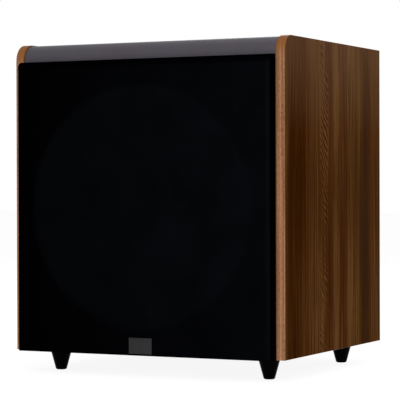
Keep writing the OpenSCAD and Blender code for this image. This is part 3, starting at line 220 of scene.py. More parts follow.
def calc(tree, operation, *values):
    """One Math node; returns its result."""
    made = add_node(tree, "Math", operation=operation)
    for value, socket in zip(values, made.inputs):
        feed(tree, value, socket)
    return made.outputs["Value"]


def spread(tree, value, low, high, to_low=0.0, to_high=1.0, kind="LINEAR"):
    """One Map Range node, clamped; returns its result."""
    made = add_node(tree, "MapRange", interpolation_type=kind)
    for value_in, label in zip((value, low, high, to_low, to_high),
                               ("Value", "From Min", "From Max", "To Min", "To Max")):
        feed(tree, value_in, made.inputs[label])
    return made.outputs["Result"]


def blend_colours(tree, share, first, second):
    """One colour Mix node; returns its result."""
    made = add_node(tree, "Mix", data_type="RGBA")
    for value, label in zip((share, first, second), ("Factor_Float", "A_Color", "B_Color")):
        socket = next(s for s in made.inputs if s.identifier == label)
        feed(tree, value, socket)
    return next(s for s in made.outputs if s.identifier == "Result_Color")


def split(tree, vector):
    """The X, Y and Z of a vector, by name."""
    made = add_node(tree, "SeparateXYZ")
    tree.links.new(vector, made.inputs["Vector"])
    return made.outputs


def cloud(tree, vector, scale, detail=2.0, roughness=0.5):
    """Noise that is stretched by a scale of its own along each axis; returns a value round 0.5."""
    mapping = add_node(tree, "Mapping")
    mapping.inputs["Scale"].default_value = scale
    tree.links.new(vector, mapping.inputs["Vector"])
    noise = add_node(tree, "TexNoise")
    noise.inputs["Scale"].default_value = 1.0
    noise.inputs["Detail"].default_value = detail
    noise.inputs["Roughness"].default_value = roughness
    tree.links.new(mapping.outputs["Vector"], noise.inputs["Vector"])
    return noise.outputs["Fac"]


def start_group(name, inputs, outputs):
    """A new node group with named sockets; returns its tree, its inputs and its output node."""
    tree = bpy.data.node_groups.new(name, "ShaderNodeTree")
    for label, kind, value in inputs:
        socket = tree.interface.new_socket(label, in_out="INPUT", socket_type="NodeSocket" + kind)
        if value is not None:
            socket.default_value = value
    for label, kind in outputs:
        tree.interface.new_socket(label, in_out="OUTPUT", socket_type="NodeSocket" + kind)
    return tree, tree.nodes.new("NodeGroupInput").outputs, tree.nodes.new("NodeGroupOutput").inputs


print("node helpers ready")

# %% [markdown]
# ## Three shared effects
# Plastic, paint and rubber all show the same thing close up: a fine moulded grain and a slow change of
# tone. Wood shows long bands, streaks and pores that run with the grain. Cloth shows rows of loops. Each
# is a node group, so that every finish places it with its own sizes and colours.

# %% Group: fine moulded or painted surface
surface, given, result = start_group(
    "fine_surface",
    [("Vector", "Vector", None), ("Grain size", "Float", 0.0006), ("Base", "Color", (0.1, 0.1, 0.1, 1)),
     ("Second", "Color", (0.12, 0.12, 0.12, 1)), ("Smoothest", "Float", 0.3), ("Roughest", "Float", 0.5)],
    [("Color", "Color"), ("Roughness", "Float"), ("Height", "Float")])
grain_scale = add_node(surface, "VectorMath", operation="SCALE")
surface.links.new(given["Vector"], grain_scale.inputs[0])
surface.links.new(calc(surface, "DIVIDE", 1.0, given["Grain size"]), grain_scale.inputs["Scale"])
fine_grain = cloud(surface, grain_scale.outputs["Vector"], (1, 1, 1), 2.0)
slow_tone = cloud(surface, given["Vector"], (21, 21, 21), 3.0)
tone = spread(surface, calc(surface, "MULTIPLY_ADD", fine_grain, 0.4, slow_tone), 0.5, 0.9)
surface.links.new(blend_colours(surface, tone, given["Base"], given["Second"]), result["Color"])
surface.links.new(spread(surface, slow_tone, 0.3, 0.7, given["Smoothest"], given["Roughest"]),
                  result["Roughness"])
surface.links.new(fine_grain, result["Height"])
print("group", surface.name, "nodes", len(surface.nodes))

# %% Group: wood grain along Z
wood, given, result = start_group(
    "wood_grain",
    [("Vector", "Vector", None), ("Waviness", "Float", 0.004)],
    [("Bands", "Float"), ("Streaks", "Float"), ("Pores", "Float")])
drift = calc(wood, "SUBTRACT", cloud(wood, given["Vector"], (6, 6, 5), 1.0), 0.5)
shift = add_node(wood, "CombineXYZ")
sway = calc(wood, "MULTIPLY", drift, given["Waviness"])
wood.links.new(sway, shift.inputs["X"])
wood.links.new(sway, shift.inputs["Y"])
bent = add_node(wood, "VectorMath", operation="ADD")
wood.links.new(given["Vector"], bent.inputs[0])
wood.links.new(shift.outputs["Vector"], bent.inputs[1])
wood.links.new(cloud(wood, bent.outputs["Vector"], (34, 34, 0.8), 3.0, 0.55), result["Bands"])
wood.links.new(cloud(wood, bent.outputs["Vector"], (230, 230, 4.0), 4.0, 0.6), result["Streaks"])
pore_lines = cloud(wood, bent.outputs["Vector"], (1100, 1100, 40), 2.0)
wood.links.new(spread(wood, pore_lines, 0.56, 0.7), result["Pores"])
print("group", wood.name, "nodes", len(wood.nodes))

# %% Group: rows of loops in a knitted or woven cloth
knit, given, result = start_group(
    "loop_rows",
    [("Vector", "Vector", None), ("Pitch", "Float", 0.0012)],
    [("Shade", "Float"), ("Height", "Float")])
axes = split(knit, given["Vector"])
per_metre = calc(knit, "DIVIDE", 2 * math.pi, given["Pitch"])
across = calc(knit, "MULTIPLY", calc(knit, "ADD", axes["X"], axes["Y"]), per_metre)
along = calc(knit, "MULTIPLY", calc(knit, "SUBTRACT", axes["Z"], axes["Y"]), per_metre)
loops = calc(knit, "MULTIPLY", calc(knit, "SINE", across), calc(knit, "SINE", along))
yarn = calc(knit, "MULTIPLY_ADD", cloud(knit, given["Vector"], (900, 900, 900), 2.0), 0.8, loops)
height = spread(knit, yarn, -0.8, 1.4)
knit.links.new(height, result["Height"])
knit.links.new(spread(knit, cloud(knit, given["Vector"], (15, 15, 15), 3.0), 0.3, 0.7), result["Shade"])
print("group", knit.name, "nodes", len(knit.nodes))

# %% [markdown]
# ## Plain finishes from the first group
# Most parts are moulded, painted or plated, and differ only in colour, gloss and the size of their grain.
# One function makes such a finish. What is the same all over, such as how metallic it is, sits on the
# shader.

# %% A moulded, painted or plated finish
def start_finish(name, specular, metallic=0.0):
    """A new material; returns it, its tree, its shader and its Object coordinates."""
    finish = bpy.data.materials.new(name)
    finish.use_nodes = True
    tree = finish.node_tree
    shader = tree.nodes["Principled BSDF"]
    shader.inputs["Specular IOR Level"].default_value = specular
    shader.inputs["Metallic"].default_value = metallic
    return finish, tree, shader, add_node(tree, "TexCoord").outputs["Object"]


def use_group(tree, group, **values):
    """Places a node group and feeds its inputs by name."""
    made = add_node(tree, "Group", node_tree=group)
    for label, value in values.items():
        feed(tree, value, made.inputs[label.replace("_", " ")])
    return made.outputs


def cover(tree, shader, colour, roughness, height=None, distance=0.0):
    """Feeds the shader its colour and its roughness, and a height through a Bump node."""
    tree.links.new(colour, shader.inputs["Base Color"])
    tree.links.new(roughness, shader.inputs["Roughness"])
    if height:
        bump = add_node(tree, "Bump")
        bump.inputs["Strength"].default_value = 1.0
        bump.inputs["Distance"].default_value = distance
        tree.links.new(height, bump.inputs["Height"])
        tree.links.new(bump.outputs["Normal"], shader.inputs["Normal"])


def surface_finish(name, base, second, gloss, grain, bump, specular=0.5, metallic=0.0):
    """A finish with a fine grain: two tones, a range of roughness, the grain's size and its bump."""
    finish, tree, shader, place = start_finish(name, specular, metallic)
    made = use_group(tree, surface, Vector=place, Grain_size=grain, Base=(*base, 1), Second=(*second, 1),
                     Smoothest=gloss[0], Roughest=gloss[1])
    cover(tree, shader, made["Color"], made["Roughness"], made["Height"], bump)
    return finish


print("finish makers ready")

# %% Make the plain finishes
SATIN_GREY = surface_finish("satin_grey_foil", (0.0385, 0.0334, 0.0421), (0.0433, 0.0378, 0.0477),
                            (0.48, 0.50), 0.0009, 0.000003, 0.24)
BLACK_PAINT = surface_finish("black_board_paint", (0.008, 0.008, 0.009), (0.014, 0.014, 0.015),
                             (0.45, 0.6), 0.0011, 0.00006, 0.25)
FOOT_PLASTIC = surface_finish("satin_foot_plastic", (0.0005, 0.0005, 0.0006), (0.0012, 0.0012, 0.0014),
                              (0.16, 0.22), 0.0006, 0.00001, 0.012)
BLACK_MOULDING = surface_finish("black_moulding", (0.006, 0.006, 0.0064), (0.012, 0.012, 0.0125),
                                (0.4, 0.55), 0.0007, 0.00003, 0.3)
KNOB_BLACK = surface_finish("knob_black", (0.009, 0.009, 0.0095), (0.015, 0.015, 0.016),
                            (0.3, 0.42), 0.0005, 0.00002, 0.4)
PLATE_COAT = surface_finish("plate_powder_coat", (0.011, 0.011, 0.012), (0.021, 0.021, 0.022),
                            (0.42, 0.58), 0.0010, 0.00009, 0.35)
SINK_BLACK = surface_finish("anodised_sink", (0.008, 0.008, 0.009), (0.017, 0.017, 0.018),
                            (0.3, 0.42), 0.0004, 0.00001, 0.5, 0.35)
RUBBER = surface_finish("soft_rubber", (0.009, 0.009, 0.009), (0.018, 0.018, 0.018), (0.55, 0.72),
                        0.0008, 0.00002, 0.3)
FOAM = surface_finish("gasket_foam", (0.010, 0.010, 0.010), (0.03, 0.03, 0.03), (0.85, 0.95), 0.0009,
                      0.00025, 0.1)
BASKET_PAINT = surface_finish("basket_paint", (0.012, 0.012, 0.013), (0.022, 0.022, 0.023), (0.4, 0.55),
                              0.0013, 0.00008, 0.4)
SCREW_BLACK = surface_finish("blackened_screw", (0.03, 0.03, 0.032), (0.055, 0.055, 0.057), (0.28, 0.42),
                             0.0004, 0.00001, 0.5, 0.8)
MOTOR_STEEL = surface_finish("plated_steel", (0.52, 0.51, 0.47), (0.62, 0.6, 0.54), (0.24, 0.38),
                             0.0005, 0.00001, 0.5, 1.0)
FERRITE = surface_finish("ferrite", (0.02, 0.02, 0.021), (0.045, 0.045, 0.046), (0.5, 0.7), 0.0012,
                         0.00008, 0.4)
FORMER_CARD = surface_finish("former_card", (0.42, 0.27, 0.09), (0.5, 0.33, 0.13), (0.4, 0.55), 0.0008,
                             0.00002)
PHENOLIC = surface_finish("phenolic_board", (0.16, 0.07, 0.03), (0.22, 0.11, 0.05), (0.4, 0.5), 0.0007,
                          0.00002)
BOARD_GREEN = surface_finish("circuit_board", (0.012, 0.09, 0.035), (0.02, 0.13, 0.05), (0.25, 0.4),
                             0.0009, 0.00002)
CAN_SLEEVE = surface_finish("capacitor_sleeve", (0.012, 0.014, 0.05), (0.02, 0.022, 0.07), (0.25, 0.35),
                            0.001, 0.00001)
POT_CASE = surface_finish("zinc_case", (0.5, 0.51, 0.52), (0.62, 0.62, 0.62), (0.28, 0.42), 0.0006,
                          0.00001, 0.5, 1.0)
WINDING_TAPE = surface_finish("winding_tape", (0.42, 0.3, 0.06), (0.55, 0.4, 0.1), (0.3, 0.45), 0.003,
                              0.00015)
WHITE_PLASTIC = surface_finish("white_plastic", (0.72, 0.71, 0.68), (0.78, 0.77, 0.75), (0.35, 0.5),
                               0.0006, 0.00002)
WHITE_INK = surface_finish("white_ink", (0.66, 0.66, 0.65), (0.76, 0.76, 0.75), (0.5, 0.65), 0.0004,
                           0.00001, 0.3)
LAMP_LENS = surface_finish("lamp_lens", (0.02, 0.24, 0.06), (0.03, 0.3, 0.08), (0.12, 0.2), 0.0006,
                           0.000005)
GOLD_PLATE = surface_finish("gold_plate", (0.83, 0.56, 0.2), (0.9, 0.64, 0.27), (0.16, 0.28), 0.0005,
                            0.000005, 0.5, 1.0)
PIN_NICKEL = surface_finish("pin_nickel", (0.58, 0.55, 0.48), (0.68, 0.65, 0.57), (0.22, 0.34), 0.0005,
                            0.000005, 0.5, 1.0)
RED_PLASTIC = surface_finish("red_plastic", (0.38, 0.012, 0.012), (0.46, 0.02, 0.018), (0.32, 0.45),
                             0.0006, 0.00002, 0.4)
LEVER_BLACK = surface_finish("black_lever", (0.01, 0.01, 0.0105), (0.018, 0.018, 0.019), (0.32, 0.45),
                             0.0006, 0.00002, 0.4)
LEAD_RED = surface_finish("red_lead_sleeve", (0.20, 0.010, 0.008), (0.28, 0.018, 0.014), (0.35, 0.45), 0.001,
                          0.00002)
LEAD_BLACK = surface_finish("black_lead_sleeve", (0.006, 0.006, 0.006), (0.013, 0.013, 0.013), (0.35, 0.45),
                            0.001, 0.00002)
plain_finishes = [finish.name for finish in bpy.data.materials if finish.use_nodes]
print("finishes so far", len(plain_finishes))

# %% [markdown]
# ## Dark walnut foil
# The side of the box is one tall sheet of dark walnut figure. It has broad stripes that run straight up,
# some dark and some pale, a column of feathery cross figure near the front, and fine pores. The wood
# group gives the run of the grain. The named stripes are added at their own depth, because the eye finds
# them first.

# %% Walnut on the side panels
WALNUT_DARK = (0.026, 0.0072, 0.0009, 1)
WALNUT_UMBER = (0.030, 0.0124, 0.0048, 1)
WALNUT_GOLD = (0.056, 0.0220, 0.0046, 1)
WALNUT_RED = (0.057, 0.0172, 0.0042, 1)
PALE_GOLD = (0.120, 0.058, 0.0170, 1)
PALE_ROSE = (0.124, 0.053, 0.0215, 1)
# Depth of a stripe's middle, its half width, how much paler it is, and how much redder
WALNUT_STRIPES = [(-0.199, 0.008, 0.20, 0.0), (-0.158, 0.044, -0.31, 0.15), (-0.031, 0.010, -0.07, 0.8),
                  (-0.002, 0.0115, 0.25, -0.5), (0.029, 0.015, -0.10, 0.9), (0.062, 0.015, 0.20, -0.6),
                  (0.092, 0.014, 0.06, -0.7), (0.123, 0.021, -0.36, 0.0), (0.168, 0.017, 0.07, 0.4)]
STRIPE_CORE = 0.35
STRIPE_FADE = 1.35
STRIPE_WANDER = 0.026
FIGURE_MEAN = 0.42
STREAK_SHARE = 1.7
BAND_SHARE = 0.5
REDNESS_SHARE = 2.4
# Painted light, paler high up and low down: height where the change starts and ends, and how much paler the
# figure is at each
PAINTED_LIGHT_ABOVE = (0.29, 0.50, -0.03, 0.30)
PAINTED_LIGHT_BELOW = (0.23, 0.08, 0.0, 0.17)

WALNUT, tree, shader, place = start_finish("dark_walnut_foil", 0.0)
grain = use_group(tree, wood, Vector=place, Waviness=0.006)
axes = split(tree, place)
wander = calc(tree, "SUBTRACT", cloud(tree, place, (0, 3, 3.4), 3.0), 0.5)
wander = calc(tree, "MULTIPLY", wander, STRIPE_WANDER)
depth = calc(tree, "ADD", axes["Y"], wander)
streaks = calc(tree, "MULTIPLY_ADD", grain["Streaks"], STREAK_SHARE, FIGURE_MEAN - STREAK_SHARE / 2)
bands = calc(tree, "MULTIPLY_ADD", grain["Bands"], BAND_SHARE, -BAND_SHARE / 2)
figure = calc(tree, "ADD", streaks, bands)
redness = cloud(tree, place, (0, 95, 2.2), 3.0)
redness = calc(tree, "MULTIPLY_ADD", redness, REDNESS_SHARE, -REDNESS_SHARE / 2)
fading = spread(tree, cloud(tree, place, (0, 11, 4.6), 2.0), 0.34, 0.66, 0.5, 1.4)
for middle, half, paler, redder in WALNUT_STRIPES:
    away = calc(tree, "ABSOLUTE", calc(tree, "SUBTRACT", depth, middle))
    inside = spread(tree, away, half * STRIPE_CORE, half * STRIPE_FADE, 1.0, 0.0, "SMOOTHSTEP")
    inside = calc(tree, "MULTIPLY", inside, fading)
    figure = calc(tree, "MULTIPLY_ADD", inside, paler, figure)
    redness = calc(tree, "MULTIPLY_ADD", inside, redder, redness)
# Painted light: the figure is made paler towards the top and low down
for change in (PAINTED_LIGHT_ABOVE, PAINTED_LIGHT_BELOW):
    figure = calc(tree, "ADD", figure, spread(tree, axes["Z"], *change))
print("walnut stripes", len(WALNUT_STRIPES))

# %% Feather figure, pores, colours and painted sheen of the walnut
FEATHER_DEPTH = -0.0505
FEATHER_HALF = 0.018
FEATHER_PITCH = 0.0125
FEATHER_RUN = 0.0115
FEATHER_RAGGED = 3.0
FEATHER_SHARE = 0.33
PORE_SHARE = 0.14
PORE_DEPTH = 0.00003
UMBER_FROM = -0.06
UMBER_TO = 0.12
# Colour of the painted sheen, a pale reflection of light from above
PAINTED_SHEEN = (0.112, 0.066, 0.043, 1)
# Height where the painted sheen, a pale reflection of light from above, starts and ends, and its share at
# each
PAINTED_SHEEN_RISE = (0.37, 0.515, 0.0, 0.26)

away = calc(tree, "ABSOLUTE", calc(tree, "SUBTRACT", depth, FEATHER_DEPTH))
column = spread(tree, away, FEATHER_HALF * 0.4, FEATHER_HALF * 1.2, 1.0, 0.0, "SMOOTHSTEP")
rise = calc(tree, "ADD", calc(tree, "DIVIDE", axes["Z"], FEATHER_PITCH),
            calc(tree, "DIVIDE", axes["Y"], FEATHER_RUN))
ragged = calc(tree, "MULTIPLY", cloud(tree, place, (45, 45, 24), 3.0), FEATHER_RAGGED)
feather = calc(tree, "SINE", calc(tree, "MULTIPLY", calc(tree, "ADD", rise, ragged), 2 * math.pi))
patchy = spread(tree, cloud(tree, place, (0, 12, 14), 1.0), 0.35, 0.65, 0.3, 1.0)
feather = calc(tree, "MULTIPLY", calc(tree, "MULTIPLY", feather, column), patchy)
figure = calc(tree, "MULTIPLY_ADD", feather, FEATHER_SHARE, figure)
figure = calc(tree, "SUBTRACT", figure, calc(tree, "MULTIPLY", grain["Pores"], PORE_SHARE))
redder = spread(tree, redness, -1.0, 1.0)
behind = spread(tree, axes["Y"], UMBER_FROM, UMBER_TO)
darkest = blend_colours(tree, behind, WALNUT_DARK, WALNUT_UMBER)
middling = blend_colours(tree, redder, WALNUT_GOLD, WALNUT_RED)
walnut = blend_colours(tree, spread(tree, figure, 0.02, 0.45), darkest, middling)
palest = blend_colours(tree, redder, PALE_GOLD, PALE_ROSE)
walnut = blend_colours(tree, spread(tree, figure, 0.45, 1.0), walnut, palest)
# Painted sheen: a pale reflection of light from above, laid over the upper part of the panel
walnut = blend_colours(tree, spread(tree, axes["Z"], *PAINTED_SHEEN_RISE), walnut, PAINTED_SHEEN)
cover(tree, shader, walnut, spread(tree, grain["Pores"], 0.0, 1.0, 0.42, 0.6), grain["Pores"], -PORE_DEPTH)
print("walnut nodes", len(tree.nodes))

# %% [markdown]
# ## Tan edge band
# The front edge of each side panel wears its own strip of paler wood. Its streaks run along the strip, it
# is pinkish tan down the front and turns a deeper orange where the strip bends over the rounded corner.

# %% Wood of the edge band
EDGE_TAN = (0.375, 0.190, 0.106, 1)
EDGE_BROWN = (0.175, 0.072, 0.028, 1)
# Colour of the painted shade that the grille casts on the band's inner edge
EDGE_GRILLE_SHADE = (0.125, 0.048, 0.013, 1)
EDGE_ORANGE = (0.165, 0.058, 0.012, 1)
BEND_LOW = 0.477
BEND_HIGH = 0.505
BAND_STRETCH = 0.04
BAND_PORE = 0.00002
FLECK_SHARE = 0.28
# Painted shade of the grille along the inner edge, a dark line: full up to the first place, gone at the
# second
SHADE_LINE_FROM = 0.2165
SHADE_LINE_TO = 0.2195
# Painted light: height where the tan is painted paler and where browner, and by how much, to even out the
# light falling off down the band
PAINTED_LIGHT_ON_TAN = (0.08, 0.46, 0.14, -0.14)

EDGE_BAND, tree, shader, place = start_finish("tan_edge_band", 0.03)
turned = add_node(tree, "Mapping")
turned.inputs["Scale"].default_value = (1.0, BAND_STRETCH, 1.0)
tree.links.new(place, turned.inputs["Vector"])
grain = use_group(tree, wood, Vector=turned.outputs["Vector"], Waviness=0.001)
axes = split(tree, place)
share = spread(tree, calc(tree, "MULTIPLY_ADD", grain["Bands"], 0.6, grain["Streaks"]), 0.62, 0.98)
# Painted light: the tan is paler low down and browner high up
share = calc(tree, "ADD", share, spread(tree, axes["Z"], *PAINTED_LIGHT_ON_TAN))
flecks = spread(tree, cloud(tree, place, (620, 620, 170), 2.0), 0.3, 0.7, -FLECK_SHARE, FLECK_SHARE)
tan = blend_colours(tree, calc(tree, "ADD", share, flecks), EDGE_BROWN, EDGE_TAN)
bend = spread(tree, axes["Z"], BEND_LOW, BEND_HIGH, 0.0, 0.8, "SMOOTHSTEP")
tan = blend_colours(tree, bend, tan, EDGE_ORANGE)
# Painted shade: a dark line where the grille beside it shades the band's inner edge
grille_shade_line = spread(tree, calc(tree, "ABSOLUTE", axes["X"]), SHADE_LINE_FROM, SHADE_LINE_TO, 0.9, 0.0)
tan = blend_colours(tree, grille_shade_line, tan, EDGE_GRILLE_SHADE)
cover(tree, shader, tan, spread(tree, grain["Pores"], 0.0, 1.0, 0.4, 0.55), grain["Pores"], -BAND_PORE)
print("edge band nodes", len(tree.nodes))

# %% [markdown]
# ## Raw board, paper, cloth and wadding
# Inside, the brace is bare pressed board and the pads are white fleece. The cone is pressed paper, the
# spider is woven cloth stiffened with resin, and the grille wears a black knit. The knit is so thin that
# the driver behind it shows through, and this is painted into the knit as a faint paler disc. Light from
# the right is painted in as well: the knit is paler to the right, with a painted highlight on the right
# rim and painted shade on the sides. It is also darker on the rolled top edge.

# %% Raw board and paper pulp
BOARD_BROWN = (0.36, 0.24, 0.13, 1)
BOARD_PALE = (0.56, 0.42, 0.27, 1)
CHIP_BUMP = 0.0001

RAW_BOARD, tree, shader, place = start_finish("raw_board", 0.1)
grain = use_group(tree, wood, Vector=place, Waviness=0.02)
chips = cloud(tree, place, (260, 260, 260), 4.0)
share = spread(tree, calc(tree, "MULTIPLY_ADD", grain["Bands"], 0.4, chips), 0.45, 0.95)
cover(tree, shader, blend_colours(tree, share, BOARD_BROWN, BOARD_PALE),
      spread(tree, chips, 0.3, 0.7, 0.7, 0.9), chips, CHIP_BUMP)

CONE_PULP = surface_finish("cone_pulp", (0.008, 0.008, 0.0085), (0.022, 0.022, 0.023), (0.55, 0.75), 0.0016,
                           0.00018, 0.25)
print("raw board nodes", len(RAW_BOARD.node_tree.nodes))

# %% Black knit of the grille, with painted light and shade
DRIVER_AXIS_Z = 0.25975
DRIVER_RADIUS = 0.188
KNIT_PITCH = 0.0013
KNIT_BUMP = 0.0002
# Darkest and palest knit; the mix between them carries its loops and the painted light and shade
KNIT_DARK = (0.0002, 0.0002, 0.0004, 1)
KNIT_LIT = (0.0021, 0.0024, 0.0031, 1)
# Painted light from the right: place on the X axis from and to, and how lit the knit is painted there, over
# the driver and beside it
PAINTED_LIGHT_OVER_DRIVER = (-0.19, 0.19, 0.47, 0.9)
PAINTED_LIGHT_BESIDE_DRIVER = (-0.20, 0.19, 0.05, 0.65)
# Painted highlight on the right rim and painted shade on the sides behind the front; the roll at the top is
# darker too
PAINTED_RIM_HIGHLIGHT = (0.2095, 0.2125, 0.0, 0.6)
PAINTED_SIDE_SHADE = (-0.2205, -0.2185, 1.0, 0.1)
ROLL_DARK = (0.4720, 0.4765, 1.0, 0.3)

GRILLE_KNIT, tree, shader, place = start_finish("black_grille_knit", 0.0)
rows = use_group(tree, knit, Vector=place, Pitch=KNIT_PITCH)
axes = split(tree, place)
from_axis = calc(tree, "SUBTRACT", axes["Z"], DRIVER_AXIS_Z)
reach = calc(tree, "SQRT", calc(tree, "MULTIPLY_ADD", axes["X"], axes["X"],
                                calc(tree, "MULTIPLY", from_axis, from_axis)))
# Painted light: paler where the driver shows through, and paler towards the right
inside = spread(tree, axes["X"], *PAINTED_LIGHT_OVER_DRIVER)
outside = spread(tree, axes["X"], *PAINTED_LIGHT_BESIDE_DRIVER)
share = spread(tree, reach, DRIVER_RADIUS - 0.008, DRIVER_RADIUS + 0.004, inside, outside, "SMOOTHSTEP")
# Painted highlight on the right rim
share = calc(tree, "ADD", share, spread(tree, axes["X"], *PAINTED_RIM_HIGHLIGHT))
# Painted shade on the sides, then the darker top roll and the knit's own loops
for factor in (spread(tree, axes["Y"], *PAINTED_SIDE_SHADE), spread(tree, axes["Z"], *ROLL_DARK),
               spread(tree, rows["Shade"], 0.0, 1.0, 0.7, 1.25),
               spread(tree, rows["Height"], 0.0, 1.0, 0.6, 1.3)):
    share = calc(tree, "MULTIPLY", share, factor)
cover(tree, shader, blend_colours(tree, share, KNIT_DARK, KNIT_LIT),
      spread(tree, rows["Height"], 0.0, 1.0, 0.95, 0.8), rows["Height"], KNIT_BUMP)
print("knit nodes", len(tree.nodes))

# %% Spider cloth, wadding fleece and the coil's winding
def cloth_finish(name, low, high, pitch, bump):
    """A woven, felted or wound surface in two tones."""
    finish, tree, shader, place = start_finish(name, 0.1)
    rows = use_group(tree, knit, Vector=place, Pitch=pitch)
    share = calc(tree, "MULTIPLY_ADD", rows["Shade"], 0.4, calc(tree, "MULTIPLY", rows["Height"], 0.6))
    cover(tree, shader, blend_colours(tree, share, low, high),
          spread(tree, rows["Height"], 0.0, 1.0, 0.95, 0.75), rows["Height"], bump)
    return finish


SPIDER_CLOTH = cloth_finish("spider_cloth", (0.28, 0.19, 0.07, 1), (0.5, 0.37, 0.17, 1), 0.0011, 0.0002)
FLEECE = cloth_finish("white_fleece", (0.58, 0.57, 0.53, 1), (0.78, 0.77, 0.74, 1), 0.006, 0.0012)
COPPER = cloth_finish("copper_winding", (0.36, 0.13, 0.04, 1), (0.62, 0.27, 0.1, 1), 0.0008, 0.0002)
print("cloths", SPIDER_CLOTH.name, FLEECE.name, COPPER.name)

# %% Glass of the fuse
FUSE_GLASS, tree, shader, place = start_finish("fuse_glass", 0.5)
shader.inputs["Transmission Weight"].default_value = 0.6
made = use_group(tree, surface, Vector=place, Grain_size=0.002, Base=(0.7, 0.74, 0.74, 1),
                 Second=(0.8, 0.83, 0.83, 1), Smoothest=0.04, Roughest=0.1)
cover(tree, shader, made["Color"], made["Roughness"])
print("glass", FUSE_GLASS.name)

# %% [markdown]
# ## Floor, backdrop and light
# The photograph is a cut-out on white with a soft shadow under the box. A large pale floor and a white
# world give that. Both look white to the camera and in reflections, yet the light that falls on the
# object stays at a plain level, so its colours come out as they are written.

# %% Floor and world
FLOOR_COLOUR = (0.9, 0.9, 0.9, 1)
FLOOR_SIZE = 30
FLOOR_GLOW = 0.85
FLOOR_WHITE = 1.07
WORLD_FILL = 0.5


def seen_directly(tree):
    """1 for rays from the camera, from a reflection or through glass, and 0 for the rest."""
    seen = add_node(tree, "LightPath").outputs
    return calc(tree, "MAXIMUM", seen["Is Camera Ray"],
                calc(tree, "MAXIMUM", seen["Is Glossy Ray"], seen["Is Transmission Ray"]))


bpy.ops.object.select_all(action="DESELECT")
bpy.ops.mesh.primitive_plane_add(size=FLOOR_SIZE)
floor = bpy.context.active_object
floor.name = "pale_floor"
floor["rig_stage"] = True
pale = bpy.data.materials.new("pale_floor")
pale.use_nodes = True
tree = pale.node_tree
shader = tree.nodes["Principled BSDF"]
shader.inputs["Base Color"].default_value = FLOOR_COLOUR
shader.inputs["Roughness"].default_value = 0.9
shader.inputs["Specular IOR Level"].default_value = 0.0
glow = add_node(tree, "Emission")
glow.inputs["Strength"].default_value = FLOOR_WHITE
mixed = add_node(tree, "MixShader")
tree.links.new(calc(tree, "MULTIPLY", seen_directly(tree), FLOOR_GLOW), mixed.inputs["Fac"])
tree.links.new(shader.outputs["BSDF"], mixed.inputs[1])
tree.links.new(glow.outputs["Emission"], mixed.inputs[2])
tree.links.new(mixed.outputs["Shader"], tree.nodes["Material Output"].inputs["Surface"])
floor.data.materials.append(pale)

world = bpy.data.worlds.new("white_room")
bpy.context.scene.world = world
world.use_nodes = True
tree = world.node_tree
backdrop = tree.nodes["Background"]
backdrop.inputs["Color"].default_value = (1, 1, 1, 1)
tree.links.new(spread(tree, seen_directly(tree), 0.0, 1.0, WORLD_FILL, 1.0), backdrop.inputs["Strength"])
print("floor", floor.name, "world", world.name)

# %% Studio lamps
BOX_MIDDLE = Vector((0.0, 0.0, 0.26))


def soft_lamp(name, place, size, power):
    """A square studio lamp that faces the middle of the box."""
    bpy.ops.object.select_all(action="DESELECT")
    bpy.ops.object.light_add(type="AREA", location=place)
    lamp = bpy.context.active_object
    lamp.name = name
    lamp.data.size = size
    lamp.data.energy = power
    lamp.rotation_euler = (BOX_MIDDLE - Vector(place)).to_track_quat("-Z", "Y").to_euler()
    return lamp


soft_lamp("key_lamp", (0.9, -3.1, 1.9), 3.3, 101)
soft_lamp("side_lamp", (3.0, 0.5, 1.5), 1.8, 18)
soft_lamp("top_lamp", (0.2, 0.3, 2.9), 2.0, 16)
soft_lamp("back_lamp", (-0.6, 3.0, 1.6), 2.0, 26)

# %% [markdown]
# ## Modelling helpers
# A CAD node arrives as loose triangles with knife-sharp edges. `merged_copy` joins the triangles into one
# skin and dissolves the flat ones. `dress` then rounds its sharp edges, smooths what is curved and lets
# it stand for the node. Selecting by place or by normal is what a hand would do with a box selection.

# %% Selecting, editing and modifiers
SQUARE_ON = 0.9


def pick(*objects):
    """Makes these the only selected objects, with the first one active."""
    bpy.ops.object.select_all(action="DESELECT")
    for obj in objects:
        obj.select_set(True)
    bpy.context.view_layer.objects.active = objects[0]


def choose_faces(obj, test):
    """In edit mode, selects the faces whose centre and normal pass the test."""
    bpy.ops.mesh.select_mode(type="FACE")
    bpy.ops.mesh.select_all(action="DESELECT")
    bpy.ops.object.mode_set(mode="OBJECT")
    for face in obj.data.polygons:
        face.select = bool(test(face.center, face.normal))
    bpy.ops.object.mode_set(mode="EDIT")


def choose_edges(obj, test):
    """In edit mode, selects the edges whose two ends pass the test."""
    bpy.ops.mesh.select_mode(type="EDGE")
    bpy.ops.mesh.select_all(action="DESELECT")
    bpy.ops.object.mode_set(mode="OBJECT")
    points = [vertex.co for vertex in obj.data.vertices]
    for edge in obj.data.edges:
        edge.select = bool(all(test(points[i]) for i in edge.vertices))
    bpy.ops.object.mode_set(mode="EDIT")


def use_modifier(obj, kind, **settings):
    """Adds a modifier, sets it and applies it."""
    pick(obj)
    bpy.ops.object.modifier_add(type=kind)
    modifier = obj.modifiers[-1]
    for key, value in settings.items():
        setattr(modifier, key, value)
    bpy.ops.object.modifier_apply(modifier=modifier.name)


def soften(obj, width, segments=2, angle=35):
    """Rounds the sharp edges and smooths what is curved."""
    if width:
        use_modifier(obj, "BEVEL", width=width, segments=segments, limit_method="ANGLE",
                     angle_limit=math.radians(angle), use_clamp_overlap=False)
    pick(obj)
    bpy.ops.object.shade_smooth_by_angle(angle=math.radians(angle))
    if width:
        use_modifier(obj, "WEIGHTED_NORMAL", keep_sharp=True)


print("modelling helpers ready")

# %% Copies of CAD nodes
MERGE_STEP = 0.000005
FLAT_ANGLE = math.radians(0.2)


